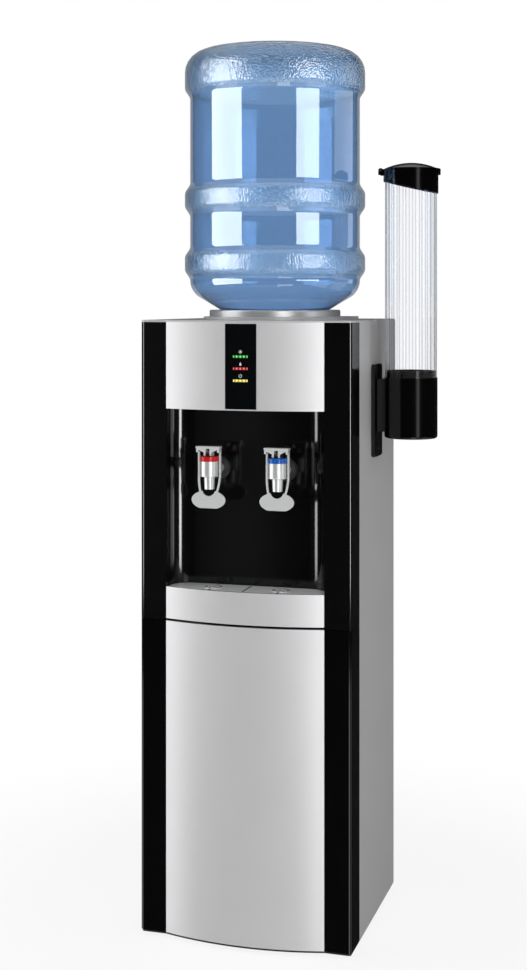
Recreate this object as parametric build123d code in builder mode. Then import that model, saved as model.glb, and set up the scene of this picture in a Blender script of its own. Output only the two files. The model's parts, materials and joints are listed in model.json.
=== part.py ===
from build123d import *
from math import cos, radians, sin, sqrt
import os

os.makedirs("parts", exist_ok=True)

# Frame: +X right seen from the front, +Y to the back, +Z up. The origin is on the floor at the
# centre of the cabinet's plan. Every size is in millimetres.

# Cabinet
cabinet_width = 310.0
cabinet_depth = 280.0  # flat front of the pillars to the rear panel
plinth_height = 5.0
plinth_inset = 14.0
plinth_wall = 6.0
plinth_radius = 10.0
base_plate = 3.0
base_inset = 1.5
lower_front_height = 444.0
front_seam = 1.0
upper_front_height = 424.0
header_height = 123.0
top_plate = 3.0
top_skirt = 30.0
top_edge_radius = 1.5
sheet = 1.2  # steel side and rear panels
moulding = 2.5  # wall of the plastic mouldings
pillar_radius = 5.0
panel_flange = 14.0

# Bowed silver panels
trim_width = 233.0
trim_sheet = 2.0
trim_gap = 0.4
bow = 16.5

# Display strip in the upper panel
display_width = 45.0
display_margin = 2.2
display_sheet = 2.6
window_width = 34.0
window_height = 84.0
lamp_width = 21.0
lamp_height = 4.0
lamp_pitch = 16.8
lamp_flange = 1.2
lamp_depth = 1.5
lamp_top_drop = 47.5  # top of the front to the first lamp
lamp_proud = 0.3
board_width = 42.0
board_height = 96.0
board_sheet = 1.6
board_gap = 4.0
boss_radius = 2.5

# Niche and drip tray
niche_depth = 42.0
niche_radius = 30.0
frame_lap = 6.0  # how far the front mouldings reach behind the niche wall
tray_height = 45.0
tray_gap = 0.5
tray_wall = 2.0
tray_ledge = 5.0
grille_sheet = 2.5
grille_gap = 0.4
slot_width = 2.8
slot_margin = 5.0
drain_radius = 11.0
drain_rim = 2.0
drain_rim_height = 0.8
drain_dome_radius = 6.0
drain_dome_height = 2.2
drain_dome_edge = 2.0
drain_spoke = 1.8
drain_gap = 0.2

# Taps
tap_spacing = 100.0
tap_reach = 45.0  # niche wall to the tap's axis
tap_level = 215.0  # tail axis above the front seam
tap_body_radius = 12.6
tap_body_height = 21.5
tap_body_below = 8.3  # bottom of the body below the tail axis
body_rim = 0.7
body_rim_height = 2.4
nozzle_length = 17.9
nozzle_top_radius = 7.8
nozzle_tip_radius = 7.1
nozzle_bore = 4.5
chamber_radius = 9.0
chamber_floor = 3.6
tail_radius = 8.0
tail_bore = 4.5
tail_inside = 24.0  # tail behind the niche wall
tail_clearance = 0.25
flange_radius = 16.5
flange_height = 4.0
nut_across = 24.0
nut_height = 7.0
cap_radius = 13.3
cap_height = 7.0
cap_plate = 2.8
ring_flutes = 20
flute_radius = 0.8
stem_radius = 3.0
stem_head_radius = 5.0
stem_clearance = 0.3
plug_radius = 6.5
plug_height = 6.0
plug_gap = 0.3
pin_radius = 1.5
pin_running = 0.05
link_pin_radius = 1.2
link_play = 0.55
pivot_rise = 3.2  # pivot above the cap
pivot_ahead = 6.5  # pivot in front of the stem
lug_radius = 3.0
lug_half = 2.6
tang_half = 3.0
tang_floor = 2.8  # stem's shoulders below the lever's cheeks
cheek_inner = 3.0
cheek_thickness = 2.8
cheek_radius = 2.8
cheek_back = 3.4  # cheeks behind the stem's axis
lever_top = 11.1  # lever's top above the pivot
lever_under = 2.9  # crosspiece's underside above the pivot
lever_band = 2.7
lever_half_width = 17.6
lever_front = 9.3
lever_back = 3.0
saddle_half = 6.6
saddle_roof = 3.2
arm_half = 16.8
arm_width = 2.6
arm_front = 1.2
arm_bend = 30.0  # start of the arms' taper below the pivot
paddle_width = 49.6
paddle_height = 27.2
paddle_foot = 11.7  # flat lower edge below the paddle's centre
paddle_corner = 9.0
paddle_drop = 64.5  # paddle's centre below the pivot
paddle_ahead = 4.0  # paddle in front of the tap's axis
paddle_sheet = 3.0
notch_half = 9.6
notch_drop = 59.2  # bottom of the notch below the pivot

# Bottle and its seat
bottle_y = 16.0
bottle_radius = 135.0
waist_radius = 127.0
bottle_wall = 2.0
neck_radius = 27.5
neck_length = 54.4
neck_blend = 6.0
shoulder_slope = 0.6  # rise over run of the shoulder cone
apex_drop = 48.9  # apex of the shoulder cone below the collar's top
shoulder_radius = 27.0
shoulder_wall = 18.6
band_blend = 12.0
band_height = 22.0
band_radius = 10.0
short_waist = 49.0
long_waist = 130.0
base_band = 25.0
base_corner = 32.0
base_dish_radius = 70.0
base_dish = 5.0
dish_blend = 14.0
bottle_gap = 0.3
plateau_radius = 107.0
plateau_length = 92.0
plateau_height = 4.0
plateau_wall = 4.0
cover_bore = 86.0
collar_radius = 98.0
collar_height = 10.0
collar_edge = 2.5
collar_clearance = 2.0
seat_flange = 2.5
seat_flange_radius = 92.0
seat_wall = 2.5
seat_tube_radius = 34.5
seat_tube_end = 16.0  # tube's end below the bottle's mouth

# Tanks
tank_radius = 62.0
tank_wall = 1.2
tank_height = 82.0
tank_flange = 8.0
lid_height = 4.0
lid_gap = 0.3
foam_side = 20.0
foam_floor = 12.0
spigot_radius = 6.0
spigot_bore = 4.5
spigot_length = 10.0
outlet_y = 0.0
baffle_height = 40.0
baffle_sheet = 2.0
baffle_gap = 1.0
riser_radius = 8.0
riser_bore = 5.0
shelf_sheet = 1.5
shelf_flange = 16.0
shelf_front = 88.0
shelf_rear = 108.0
hot_radius = 65.0
hot_height = 132.0
hot_level = 36.0  # hot shelf above the front seam
hot_edge = 5.0
heater_height = 44.0
heater_level = 40.0
heater_sheet = 2.0
heater_clamp = 12.0
stat_radius = 9.0
stat_height = 7.0
stat_level = 104.0
stat_angle = 34.0
drain_pipe_radius = 8.0
drain_pipe_bore = 5.5
drain_pipe_level = 18.0
drain_out = 14.0
drain_cap_radius = 14.0
drain_cap_wall = 2.5
drain_cap_gap = 0.3
hose_wall = 2.0
hose_bend = 24.0

# Thermoelectric cooler
block_side = 40.0
block_depth = 14.0
module_sheet = 4.0
sink_width = 92.0
sink_height = 84.0
sink_base = 5.0
fin_count = 13
fin_sheet = 1.6
fan_side = 80.0
fan_depth = 20.0
fan_bore = 37.0
fan_hub = 15.0
fan_corner = 5.0
fan_web = 2.5
blade_count = 7
blade_sheet = 1.6
blade_gap = 1.5
blade_pitch = 38.0
hub_gap = 1.0
shaft_radius = 2.0

# Rear panel
vent_length = 62.0
vent_width = 5.0
vent_pitch = 13.0
vent_rows = 9
vent_offset = 62.0
vent_level = 190.0
grille_pitch = 9.0
grille_slot = 5.0
switch_inset = 55.0  # right side to the switches' middle
switch_level = 190.0  # above the front seam
switch_pitch = 34.0
switch_width = 15.0
switch_length = 21.0
switch_rim = 2.0
switch_rim_height = 2.0
switch_depth = 12.0
switch_wall = 1.5
rocker_gap = 0.4
rocker_tilt = 8.0
rocker_height = 4.5
rocker_pivot = 1.5
gland_inset = 51.0  # left side to the gland's axis
gland_level = 60.0
gland_bore = 4.25
gland_radius = 8.0
gland_flange = 11.0
gland_flange_height = 3.0
gland_inside = 10.0
gland_outside = 9.0
power_inset = 57.0  # left side to the board's middle
power_level = 120.0
power_width = 84.0
power_height = 112.0
power_gap = 8.0
transformer_side = 38.0
transformer_height = 28.0
capacitor_count = 3
capacitor_radius = 7.5
capacitor_height = 19.0

# Cup dispenser
cup_reach = 53.7  # right side panel to the tube's axis
cup_y = 6.7
bracket_width = 49.0
bracket_height = 135.0
bracket_bottom = 680.0
bracket_sheet = 6.0
bracket_radius = 6.0
bracket_lip = 2.5
rail_head = 26.0
rail_neck = 16.0
rail_gap = 0.3
holder_radius = 38.5
holder_height = 88.0
holder_bottom = 708.0
holder_edge = 4.0
holder_bore = 33.5
holder_lip = 2.5
neck_width = 34.0
neck_height = 77.0
neck_rise = 9.0  # neck's foot above the holder's bottom
spigot_height = 10.0
retainer_bore = 31.0
retainer_tabs = 6
tab_reach = 2.5
tab_width = 7.0
tube_bore = 36.2
tube_wall = 1.2
tube_height = 294.0
rib_count = 24
rib_width = 1.6
rib_height = 0.6
cup_cap_radius = 39.8
cup_cap_gap = 0.3
cup_cap_rise = 6.0  # cap above the tube's end
cup_cap_skirt = 18.0  # mean length of the skirt
cup_cap_slant = 18.0
lid_seat = 0.4
lid_sheet = 2.0
lid_dome = 9.0
lid_rim = 2.4
lid_lip = 3.0
lid_lip_drop = 8.0
lid_lip_width = 40.0
knuckle_radius = 3.2
knuckle_half = 5.0
knuckle_ear = 4.0
knuckle_gap = 0.3
ear_foot = 5.0

# Places worked out from the sizes above
half_width = cabinet_width / 2
front_y = -cabinet_depth / 2
rear_y = cabinet_depth / 2
panel_bottom = plinth_height + base_plate
lower_top = panel_bottom + lower_front_height
upper_bottom = lower_top + front_seam
front_top = upper_bottom + upper_front_height
header_bottom = front_top - header_height
cover_top = front_top + top_plate
side_top = front_top - top_skirt
trim_half = trim_width / 2
bow_radius = (trim_half**2 + bow**2) / (2 * bow)
bow_centre = front_y - bow + bow_radius
niche_y = front_y + niche_depth
frame_rear_y = niche_y + frame_lap
niche_rear_y = niche_y + moulding
rear_inner_y = rear_y - sheet
side_inner = half_width - sheet
switch_x = half_width - switch_inset
gland_x = gland_inset - half_width
power_x = power_inset - half_width
vertical = Vector(0, 0, 1)


def save(piece, name):
    piece.label = name
    export_step(piece, f"parts/{name}.step")


def upright(x, y):
    # A plane seen from the front, through a vertical axis at (x, y)
    return Plane((x, y, 0), x_dir=(1, 0, 0), z_dir=(0, -1, 0))


def bow_y(x, inset):
    return bow_centre - sqrt((bow_radius - inset) ** 2 - x**2)


def bow_arc(half, inset):
    y = bow_y(half, inset)
    return ThreePointArc((-half, y), (0, bow_y(0, inset)), (half, y))


def cabinet_plan(inset):
    # The cabinet's outline from above, with the bowed front
    with BuildSketch() as plan:
        with BuildLine():
            arc = bow_arc(trim_half, 0)
            Polyline(
                arc @ 1, (half_width, front_y), (half_width, rear_y),
                (-half_width, rear_y), (-half_width, front_y), arc @ 0,
            )
        make_face()
        fillet(plan.vertices().filter_by(lambda v: abs(v.X) > half_width - 1), pillar_radius)
        offset(amount=-inset, kind=Kind.INTERSECTION)
    return plan.sketch


def bowed_strip(half, outer, inner):
    # Plan of a bowed sheet between two depths behind the silver face
    with BuildSketch() as plan:
        with BuildLine():
            face = bow_arc(half, outer)
            back = bow_arc(half, inner)
            Line(face @ 0, back @ 0)
            Line(face @ 1, back @ 1)
        make_face()
    return plan.sketch


def niche_plan(gap, front_inset):
    # The niche from above, from its rounded back wall to the bowed front
    half = trim_half - gap
    with BuildSketch() as plan:
        with BuildLine():
            arc = bow_arc(half, front_inset)
            Polyline(arc @ 1, (half, niche_y - gap), (-half, niche_y - gap), arc @ 0)
        make_face()
        fillet(plan.vertices().group_by(Axis.Y)[-1], niche_radius - gap)
    return plan.sketch


def front_plan(with_niche):
    # A front moulding from above: pillars, side returns, and the niche or the bowed panel's bed
    with BuildSketch() as plan:
        with BuildLine():
            arc = bow_arc(trim_half, trim_sheet)
            Polyline(
                arc @ 1, (trim_half, front_y), (half_width, front_y), (half_width, frame_rear_y),
                (-half_width, frame_rear_y), (-half_width, front_y), (-trim_half, front_y), arc @ 0,
            )
        make_face()
        outer = plan.vertices().filter_by(lambda v: abs(v.X) > half_width - 1).group_by(Axis.Y)[0]
        fillet(outer, pillar_radius)
        if with_niche:
            add(niche_plan(0, -bow), mode=Mode.SUBTRACT)
        offset(amount=-moulding, kind=Kind.INTERSECTION, mode=Mode.SUBTRACT)
        with Locations((0, frame_rear_y - moulding / 2)):
            Rectangle(cabinet_width - 2 * moulding, moulding, mode=Mode.SUBTRACT)
    return plan.sketch


# Base with its plinth, which is one ring on the floor
with BuildPart() as base_pan:
    with BuildSketch(Plane.XY.offset(plinth_height)):
        add(cabinet_plan(base_inset))
    extrude(amount=base_plate)
    with BuildSketch():
        RectangleRounded(cabinet_width - 2 * plinth_inset, cabinet_depth - 2 * plinth_inset, plinth_radius)
        offset(amount=-plinth_wall, mode=Mode.SUBTRACT)
    extrude(amount=plinth_height)
save(base_pan.part, "base_pan")


# Side panels, folded at both edges
def side_panel(side):
    with BuildPart() as panel:
        with BuildSketch(Plane.XY.offset(panel_bottom)):
            with BuildLine():
                Polyline(
                    (side * (half_width - panel_flange), frame_rear_y),
                    (side * half_width, frame_rear_y),
                    (side * half_width, rear_inner_y),
                    (side * (half_width - panel_flange), rear_inner_y),
                )
                offset(amount=sheet, side=Side.LEFT if side > 0 else Side.RIGHT, kind=Kind.INTERSECTION)
            make_face()
        extrude(amount=side_top - panel_bottom)
    return panel.part


for name, side in (("left_side_panel", -1), ("right_side_panel", 1)):
    save(side_panel(side), name)

# Lower front moulding and its bowed panel
with BuildPart() as lower_front_frame:
    with BuildSketch(Plane.XY.offset(panel_bottom)):
        add(front_plan(False))
    extrude(amount=lower_front_height)
save(lower_front_frame.part, "lower_front_frame")

with BuildPart() as lower_trim_panel:
    with BuildSketch(Plane.XY.offset(panel_bottom)):
        add(bowed_strip(trim_half - trim_gap, 0, trim_sheet))
    extrude(amount=lower_front_height)
save(lower_trim_panel.part, "lower_trim_panel")

# Upper front moulding: pillars, niche, tray floor and header
tap_z = upper_bottom + tap_level
tap_xs = (-tap_spacing / 2, tap_spacing / 2)
niche_floor = upper_bottom + moulding
display_mid = front_top - header_height / 2
lamp_levels = [front_top - lamp_top_drop - index * lamp_pitch for index in range(3)]
window_mid = lamp_levels[1]
web_rear_y = bow_y(0, trim_sheet + moulding)
board_y = web_rear_y + board_gap
with BuildPart() as upper_front_frame:
    with BuildSketch(Plane.XY.offset(upper_bottom)):
        add(front_plan(True))
    extrude(amount=header_bottom + moulding - upper_bottom)
    with BuildSketch(Plane.XY.offset(header_bottom)):
        add(front_plan(False))
    extrude(amount=header_height)
    with BuildSketch(Plane.XY.offset(upper_bottom), Plane.XY.offset(header_bottom)):
        add(niche_plan(0, trim_sheet))
    extrude(amount=moulding)
    with BuildSketch(Plane.XZ.offset(-niche_y)):
        with Locations(*[(x, tap_z) for x in tap_xs]):
            Circle(tail_radius + tail_clearance)
    extrude(amount=-2 * moulding, both=True, mode=Mode.SUBTRACT)
    with BuildSketch(Plane.XZ.offset(-web_rear_y)):
        with Locations((0, window_mid)):
            Rectangle(window_width, window_height)
    extrude(amount=bow, mode=Mode.SUBTRACT)
    with BuildSketch(Plane.XZ.offset(-board_y)):
        with Locations((0, window_mid)):
            with GridLocations(board_width - 2 * boss_radius, board_height - 2 * boss_radius, 2, 2):
                Circle(boss_radius)
    extrude(until=Until.NEXT)
save(upper_front_frame.part, "upper_front_frame")

with BuildPart() as upper_trim_panel:
    with BuildSketch(Plane.XY.offset(header_bottom)):
        add(bowed_strip(trim_half - trim_gap, 0, trim_sheet))
    extrude(amount=header_height)
    with BuildSketch(Plane.XZ.offset(-web_rear_y)):
        with Locations((0, display_mid)):
            Rectangle(display_width + 2 * trim_gap, header_height - 2 * display_margin + 2 * trim_gap)
    extrude(amount=2 * bow, mode=Mode.SUBTRACT)
save(upper_trim_panel.part, "upper_trim_panel")

# Display strip with three lamps let into it, and the board behind
with BuildPart() as display_window:
    with BuildSketch(Plane.XY.offset(header_bottom + display_margin)):
        add(bowed_strip(display_width / 2, trim_sheet - display_sheet, trim_sheet))
    extrude(amount=header_height - 2 * display_margin)
    with BuildSketch(Plane.XZ.offset(-web_rear_y)):
        with Locations(*[(0, level) for level in lamp_levels]):
            Rectangle(lamp_width, lamp_height)
    extrude(amount=2 * bow, mode=Mode.SUBTRACT)
save(display_window.part, "display_window")

lamp_back_y = bow_y(0, trim_sheet) + lamp_depth
for name, level in zip(("cooling_lamp", "heating_lamp", "power_lamp"), lamp_levels):
    with BuildPart() as lamp:
        with BuildSketch(Plane.XZ.offset(-lamp_back_y)):
            with Locations((0, level)):
                Rectangle(lamp_width, lamp_height)
        extrude(amount=lamp_depth + display_sheet + lamp_proud)
        with BuildSketch(Plane.XZ.offset(-lamp_back_y)):
            with Locations((0, level)):
                Rectangle(lamp_width + 2 * lamp_flange, lamp_height + 2 * lamp_flange)
        extrude(amount=lamp_depth - bow_y(lamp_width / 2 + lamp_flange, trim_sheet) + bow_y(0, trim_sheet))
    save(lamp.part, name)

with BuildPart() as lamp_board:
    with BuildSketch(Plane.XZ.offset(-board_y)):
        with Locations((0, window_mid)):
            Rectangle(board_width, board_height)
    extrude(amount=-board_sheet)
    with BuildSketch(Plane.XZ.offset(-board_y)):
        with Locations(*[(0, level) for level in lamp_levels]):
            with GridLocations(lamp_width / 4, 0, 4, 1):
                Circle(lamp_height / 3)
    extrude(amount=board_gap / 2)
save(lamp_board.part, "lamp_board")

# Top cover: plate with a bowed front, skirts on three sides and the raised step round the bottle
plateau_top = cover_top + plateau_height
collar_top = plateau_top + collar_height


def plateau_plan(inset):
    # D-shaped step: a half circle in front of the bottle's axis and straight sides behind it
    radius = plateau_radius - inset
    with BuildSketch() as plan:
        with Locations((0, bottle_y)):
            Circle(radius)
        with Locations((0, bottle_y + (plateau_length - inset) / 2)):
            Rectangle(2 * radius, plateau_length - inset)
        with Locations((0, bottle_y + plateau_length - inset)):
            Rectangle(4 * radius, 2 * radius, align=(Align.CENTER, Align.MIN), mode=Mode.SUBTRACT)
    return plan.sketch


with BuildPart() as top_cover:
    with BuildSketch(Plane.XY.offset(front_top)):
        add(cabinet_plan(0))
    extrude(amount=top_plate)
    with BuildSketch(Plane.XY.offset(side_top)):
        skirt_length = rear_y - frame_rear_y
        with Locations((0, frame_rear_y + skirt_length / 2)):
            Rectangle(cabinet_width, skirt_length)
        with Locations((0, frame_rear_y + (skirt_length - moulding) / 2)):
            Rectangle(cabinet_width - 2 * moulding, skirt_length - moulding, mode=Mode.SUBTRACT)
    extrude(amount=top_skirt)
    fillet(top_cover.faces().sort_by(Axis.Z)[-1].outer_wire().edges(), top_edge_radius)
    with BuildSketch(Plane.XY.offset(cover_top)):
        add(plateau_plan(0))
    extrude(amount=plateau_height)
    fillet(top_cover.faces().sort_by(Axis.Z)[-1].outer_wire().edges(), top_edge_radius)
    with BuildSketch(Plane.XY.offset(front_top)):
        add(plateau_plan(plateau_wall))
    extrude(amount=plateau_height, mode=Mode.SUBTRACT)
    with BuildSketch(Plane.XY.offset(front_top)):
        with Locations((0, bottle_y)):
            Circle(cover_bore)
    extrude(amount=collar_height + top_plate, mode=Mode.SUBTRACT)
save(top_cover.part, "top_cover")

# Bottle, its seat and the collar are turned about the bottle's axis
bottle_axis = Axis((0, bottle_y, 0), (0, 0, 1))


def cone_z(radius):
    return collar_top - apex_drop + shoulder_slope * radius


def cone_radius(z):
    return (z - collar_top + apex_drop) / shoulder_slope


seat_top = plateau_top + seat_flange
cone_drop = bottle_gap * sqrt(1 + shoulder_slope**2)
mouth_z = cone_z(neck_radius) - neck_length
seat_end = mouth_z - seat_tube_end
with BuildPart() as bottle_seat:
    with BuildSketch(upright(0, bottle_y)):
        with BuildLine():
            bore = seat_tube_radius - seat_wall
            Polyline(
                (seat_flange_radius, seat_top),
                (cone_radius(seat_top + cone_drop), seat_top),
                (bore, cone_z(bore) - cone_drop),
                (bore, seat_end),
            )
            offset(amount=seat_wall, side=Side.LEFT, kind=Kind.INTERSECTION)
        make_face()
    revolve(axis=bottle_axis)
save(bottle_seat.part, "bottle_seat")

with BuildPart() as bottle_collar:
    with BuildSketch(upright(0, bottle_y)):
        with BuildLine():
            under = seat_top + lid_gap
            Polyline(
                (seat_flange_radius + lid_gap, plateau_top),
                (collar_radius, plateau_top),
                (collar_radius, collar_top),
                (cone_radius(collar_top) + collar_clearance, collar_top),
                (cone_radius(under) + collar_clearance, under),
                (seat_flange_radius + lid_gap, under),
                close=True,
            )
        make_face()
        fillet(vertices().group_by(Axis.X)[-1].sort_by(Axis.Y)[-1], collar_edge)
    revolve(axis=bottle_axis)
save(bottle_collar.part, "bottle_collar")

shoulder_z = cone_z(waist_radius)
low_band = shoulder_z + shoulder_wall
high_band = low_band + 2 * band_blend + band_height + short_waist
base_band_z = high_band + 2 * band_blend + band_height + long_waist
base_z = base_band_z + band_blend + base_band + base_corner
with BuildPart() as bottle:
    with BuildSketch(upright(0, bottle_y)):
        with BuildLine():
            outline = [(0, base_z - base_dish), (base_dish_radius, base_z), (bottle_radius, base_z)]
            blends = [dish_blend, base_corner]
            outline += [(bottle_radius, base_band_z + band_blend), (waist_radius, base_band_z)]
            for foot in (high_band, low_band):
                outline += [
                    (waist_radius, foot + 2 * band_blend + band_height),
                    (bottle_radius, foot + band_blend + band_height),
                    (bottle_radius, foot + band_blend),
                    (waist_radius, foot),
                ]
            blends += [band_radius] * 10
            outline += [(waist_radius, shoulder_z), (neck_radius, cone_z(neck_radius))]
            outline += [(neck_radius, mouth_z)]
            blends += [shoulder_radius, neck_blend]
            FilletPolyline(*outline, radius=blends)
            offset(amount=bottle_wall, side=Side.RIGHT)
        make_face()
    revolve(axis=bottle_axis)
save(bottle.part, "bottle")

# Taps: body, cap, stem and lever for each side
tap_y = niche_y - tap_reach
tap_bottom = tap_z - tap_body_below
tap_top = tap_bottom + tap_body_height
cap_top = tap_top + cap_height
pivot_z = cap_top + pivot_rise
pivot_y = tap_y - pivot_ahead
tail_end = niche_y + tail_inside


def tap_body(x):
    nozzle_tip = tap_bottom - nozzle_length
    with BuildPart() as body:
        with BuildSketch(upright(x, tap_y)):
            Polygon(
                (0, nozzle_tip), (nozzle_tip_radius, nozzle_tip), (nozzle_top_radius, tap_bottom),
                (tap_body_radius, tap_bottom), (tap_body_radius + body_rim, tap_bottom + body_rim),
                (tap_body_radius, tap_bottom + body_rim_height), (tap_body_radius, tap_top), (0, tap_top),
                align=None,
            )
        revolve(axis=Axis((x, tap_y, 0), (0, 0, 1)))
        with BuildSketch(Plane.XZ.offset(-tap_y)):
            with Locations((x, tap_z)):
                Circle(tail_radius)
        extrude(amount=tap_y - tail_end + spigot_length)
        with BuildSketch(Plane.XZ.offset(-tap_y)):
            with Locations((x, tap_z)):
                Circle(spigot_radius)
        extrude(amount=tap_y - tail_end)
        with BuildSketch(Plane.XY.offset(tap_bottom + chamber_floor)):
            with Locations((x, tap_y)):
                Circle(chamber_radius)
        extrude(amount=tap_body_height, mode=Mode.SUBTRACT)
        with BuildSketch(Plane.XY.offset(nozzle_tip)):
            with Locations((x, tap_y)):
                Circle(nozzle_bore)
        extrude(amount=nozzle_length + chamber_floor, mode=Mode.SUBTRACT)
        with BuildSketch(Plane.XZ.offset(-tap_y)):
            with Locations((x, tap_z)):
                Circle(tail_bore)
        extrude(amount=tap_y - tail_end, mode=Mode.SUBTRACT)
    return body.part


def tap_cap(x):
    with BuildPart() as cap:
        with BuildSketch(Plane.XY.offset(tap_top)):
            with Locations((x, tap_y)):
                Circle(cap_radius)
                with PolarLocations(cap_radius, ring_flutes):
                    Circle(flute_radius, mode=Mode.SUBTRACT)
        extrude(amount=cap_height)
        with BuildSketch(Plane.XY.offset(tap_top)):
            with Locations((x, tap_y)):
                Circle(chamber_radius)
        extrude(amount=cap_height - cap_plate, mode=Mode.SUBTRACT)
        with BuildSketch(Plane.YZ.offset(x)):
            with Locations((pivot_y, pivot_z)):
                Circle(lug_radius)
            with Locations((pivot_y, cap_top - cap_plate / 2)):
                Rectangle(2 * lug_radius, pivot_rise + cap_plate / 2, align=(Align.CENTER, Align.MIN))
            with Locations((pivot_y, pivot_z)):
                Circle(pin_radius, mode=Mode.SUBTRACT)
        extrude(amount=lug_half, both=True)
        with BuildSketch(Plane.XY.offset(tap_top)):
            with Locations((x, tap_y)):
                Circle(stem_head_radius + stem_clearance)
        extrude(amount=cap_height, mode=Mode.SUBTRACT)
    return cap.part


def tap_stem(x):
    # Stem with the rubber plug below and a flat tang with a link pin above
    seat_z = tap_bottom + chamber_floor + plug_gap
    head_z = cap_top - cap_plate - stem_head_radius
    tang_z = pivot_z - cheek_radius - tang_floor
    with BuildPart() as stem:
        with BuildSketch(upright(x, tap_y)):
            Polygon(
                (0, seat_z), (plug_radius, seat_z), (plug_radius, seat_z + plug_height),
                (stem_radius, seat_z + plug_height + stem_radius), (stem_radius, head_z),
                (stem_head_radius, head_z + stem_radius), (stem_head_radius, tang_z), (0, tang_z),
                align=None,
            )
        revolve(axis=Axis((x, tap_y, 0), (0, 0, 1)))
        with BuildSketch(Plane.XY.offset(tang_z)):
            with Locations((x, tap_y)):
                Rectangle(2 * lug_half, 2 * tang_half)
        extrude(amount=pivot_z + lug_radius - tang_z)
        with BuildSketch(Plane.YZ.offset(x)):
            with Locations((tap_y, pivot_z)):
                Circle(link_pin_radius)
        extrude(amount=cheek_inner + cheek_thickness / 2, both=True)
    return stem.part


def tap_lever(x):
    inner = arm_half - arm_width
    paddle_y = tap_y - paddle_ahead
    paddle_z = pivot_z - paddle_drop
    bend_z = pivot_z - arm_bend
    join_z = paddle_z + paddle_height / 4
    notch_low = pivot_z - notch_drop
    notch_top = paddle_z + paddle_height / 2
    notch_radius = (notch_half**2 + (notch_top - notch_low) ** 2) / (2 * (notch_top - notch_low))
    with BuildPart() as lever:
        with BuildSketch(upright(x, pivot_y)) as front:
            with BuildLine():
                Line((inner, pivot_z + lever_top), (inner, bend_z))
                down = (0, -1)
                outer_foot = notch_half + arm_width
                inside = TangentArc((inner, bend_z), (notch_half, join_z), tangent=down)
                outside = TangentArc((arm_half, bend_z), (outer_foot, join_z), tangent=down)
                Line(inside @ 1, outside @ 1)
                Polyline(outside @ 0, (arm_half, pivot_z + lever_top), (inner, pivot_z + lever_top))
            make_face()
            mirror(about=Plane.YZ)
            with Locations((0, paddle_z)):
                Ellipse(paddle_width / 2, paddle_height / 2)
            with Locations((0, paddle_z - paddle_foot)):
                Rectangle(paddle_width, paddle_height, align=(Align.CENTER, Align.MAX), mode=Mode.SUBTRACT)
            fillet(front.vertices().group_by(Axis.Y)[0], paddle_corner)
            with Locations((0, notch_low + notch_radius)):
                Circle(notch_radius, mode=Mode.SUBTRACT)
            with BuildLine():
                under = pivot_z + lever_under
                band = pivot_z + lever_top - lever_band
                top = pivot_z + lever_top
                Polyline(
                    (-lever_half_width, top), (lever_half_width, top), (lever_half_width, band),
                    (saddle_half, under), (-saddle_half, under), (-lever_half_width, band), close=True,
                )
            make_face()
        extrude(amount=2 * lever_front, both=True)
        with BuildSketch(Plane.YZ.offset(x)):
            with BuildLine():
                Polyline(
                    (tap_y - lever_front, pivot_z + lever_top), (tap_y + lever_back, pivot_z + lever_top),
                    (tap_y + lever_back, bend_z), (paddle_y + paddle_sheet / 2, join_z),
                    (paddle_y + paddle_sheet / 2, paddle_z - paddle_height),
                    (paddle_y - paddle_sheet / 2, paddle_z - paddle_height),
                    (paddle_y - paddle_sheet / 2, join_z), (tap_y - arm_front, bend_z),
                    (tap_y - arm_front, pivot_z + lever_under), (tap_y - lever_front, pivot_z + lever_under),
                    close=True,
                )
            make_face()
        extrude(amount=paddle_width, both=True, mode=Mode.INTERSECT)
        cheek_faces = [Plane.YZ.offset(x + place) for place in (-cheek_inner - cheek_thickness, cheek_inner)]
        with BuildSketch(*cheek_faces):
            with Locations((pivot_y, pivot_z)):
                Circle(cheek_radius)
                Rectangle(2 * cheek_radius, lever_under + lever_band, align=(Align.CENTER, Align.MIN))
            with Locations((pivot_y, pivot_z - cheek_radius)):
                Rectangle(
                    pivot_ahead + cheek_back, cheek_radius + lever_under + lever_band,
                    align=(Align.MIN, Align.MIN),
                )
            with Locations((pivot_y, pivot_z)):
                Circle(pin_radius + pin_running, mode=Mode.SUBTRACT)
            with Locations((tap_y, pivot_z)):
                Circle(link_pin_radius + link_play, mode=Mode.SUBTRACT)
        extrude(amount=cheek_thickness)
        with BuildSketch(upright(x, pivot_y)):
            with Locations((0, pivot_z)):
                Rectangle(2 * cheek_inner, lever_top - saddle_roof, align=(Align.CENTER, Align.MIN))
        extrude(amount=2 * lever_front, both=True, mode=Mode.SUBTRACT)
    return lever.part


for side, x in zip(("hot", "cold"), tap_xs):
    save(tap_body(x), f"{side}_tap_body")
    save(tap_cap(x), f"{side}_tap_cap")
    save(tap_stem(x), f"{side}_tap_stem")
    save(tap_lever(x), f"{side}_tap_lever")

with BuildPart() as tap_lever_pins:
    with BuildSketch(*[Plane.YZ.offset(x) for x in tap_xs]):
        with Locations((pivot_y, pivot_z)):
            Circle(pin_radius)
    extrude(amount=cheek_inner + cheek_thickness, both=True)
save(tap_lever_pins.part, "tap_lever_pins")

with BuildPart() as tap_flanges:
    with BuildSketch(Plane.XZ.offset(-niche_y)):
        with Locations(*[(x, tap_z) for x in tap_xs]):
            Circle(flange_radius)
    extrude(amount=flange_height)
    chamfer(tap_flanges.edges().group_by(Axis.Y)[0], flange_height / 2)
    with BuildSketch(Plane.XZ.offset(-niche_y)):
        with Locations(*[(x, tap_z) for x in tap_xs]):
            Circle(tail_radius)
    extrude(amount=flange_height, mode=Mode.SUBTRACT)
save(tap_flanges.part, "tap_flanges")

with BuildPart() as tap_lock_nuts:
    with BuildSketch(Plane.XZ.offset(-niche_rear_y)):
        with Locations(*[(x, tap_z) for x in tap_xs]):
            RegularPolygon(nut_across / 2, 6, major_radius=False)
            Circle(tail_radius, mode=Mode.SUBTRACT)
    extrude(amount=-nut_height)
save(tap_lock_nuts.part, "tap_lock_nuts")

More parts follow.
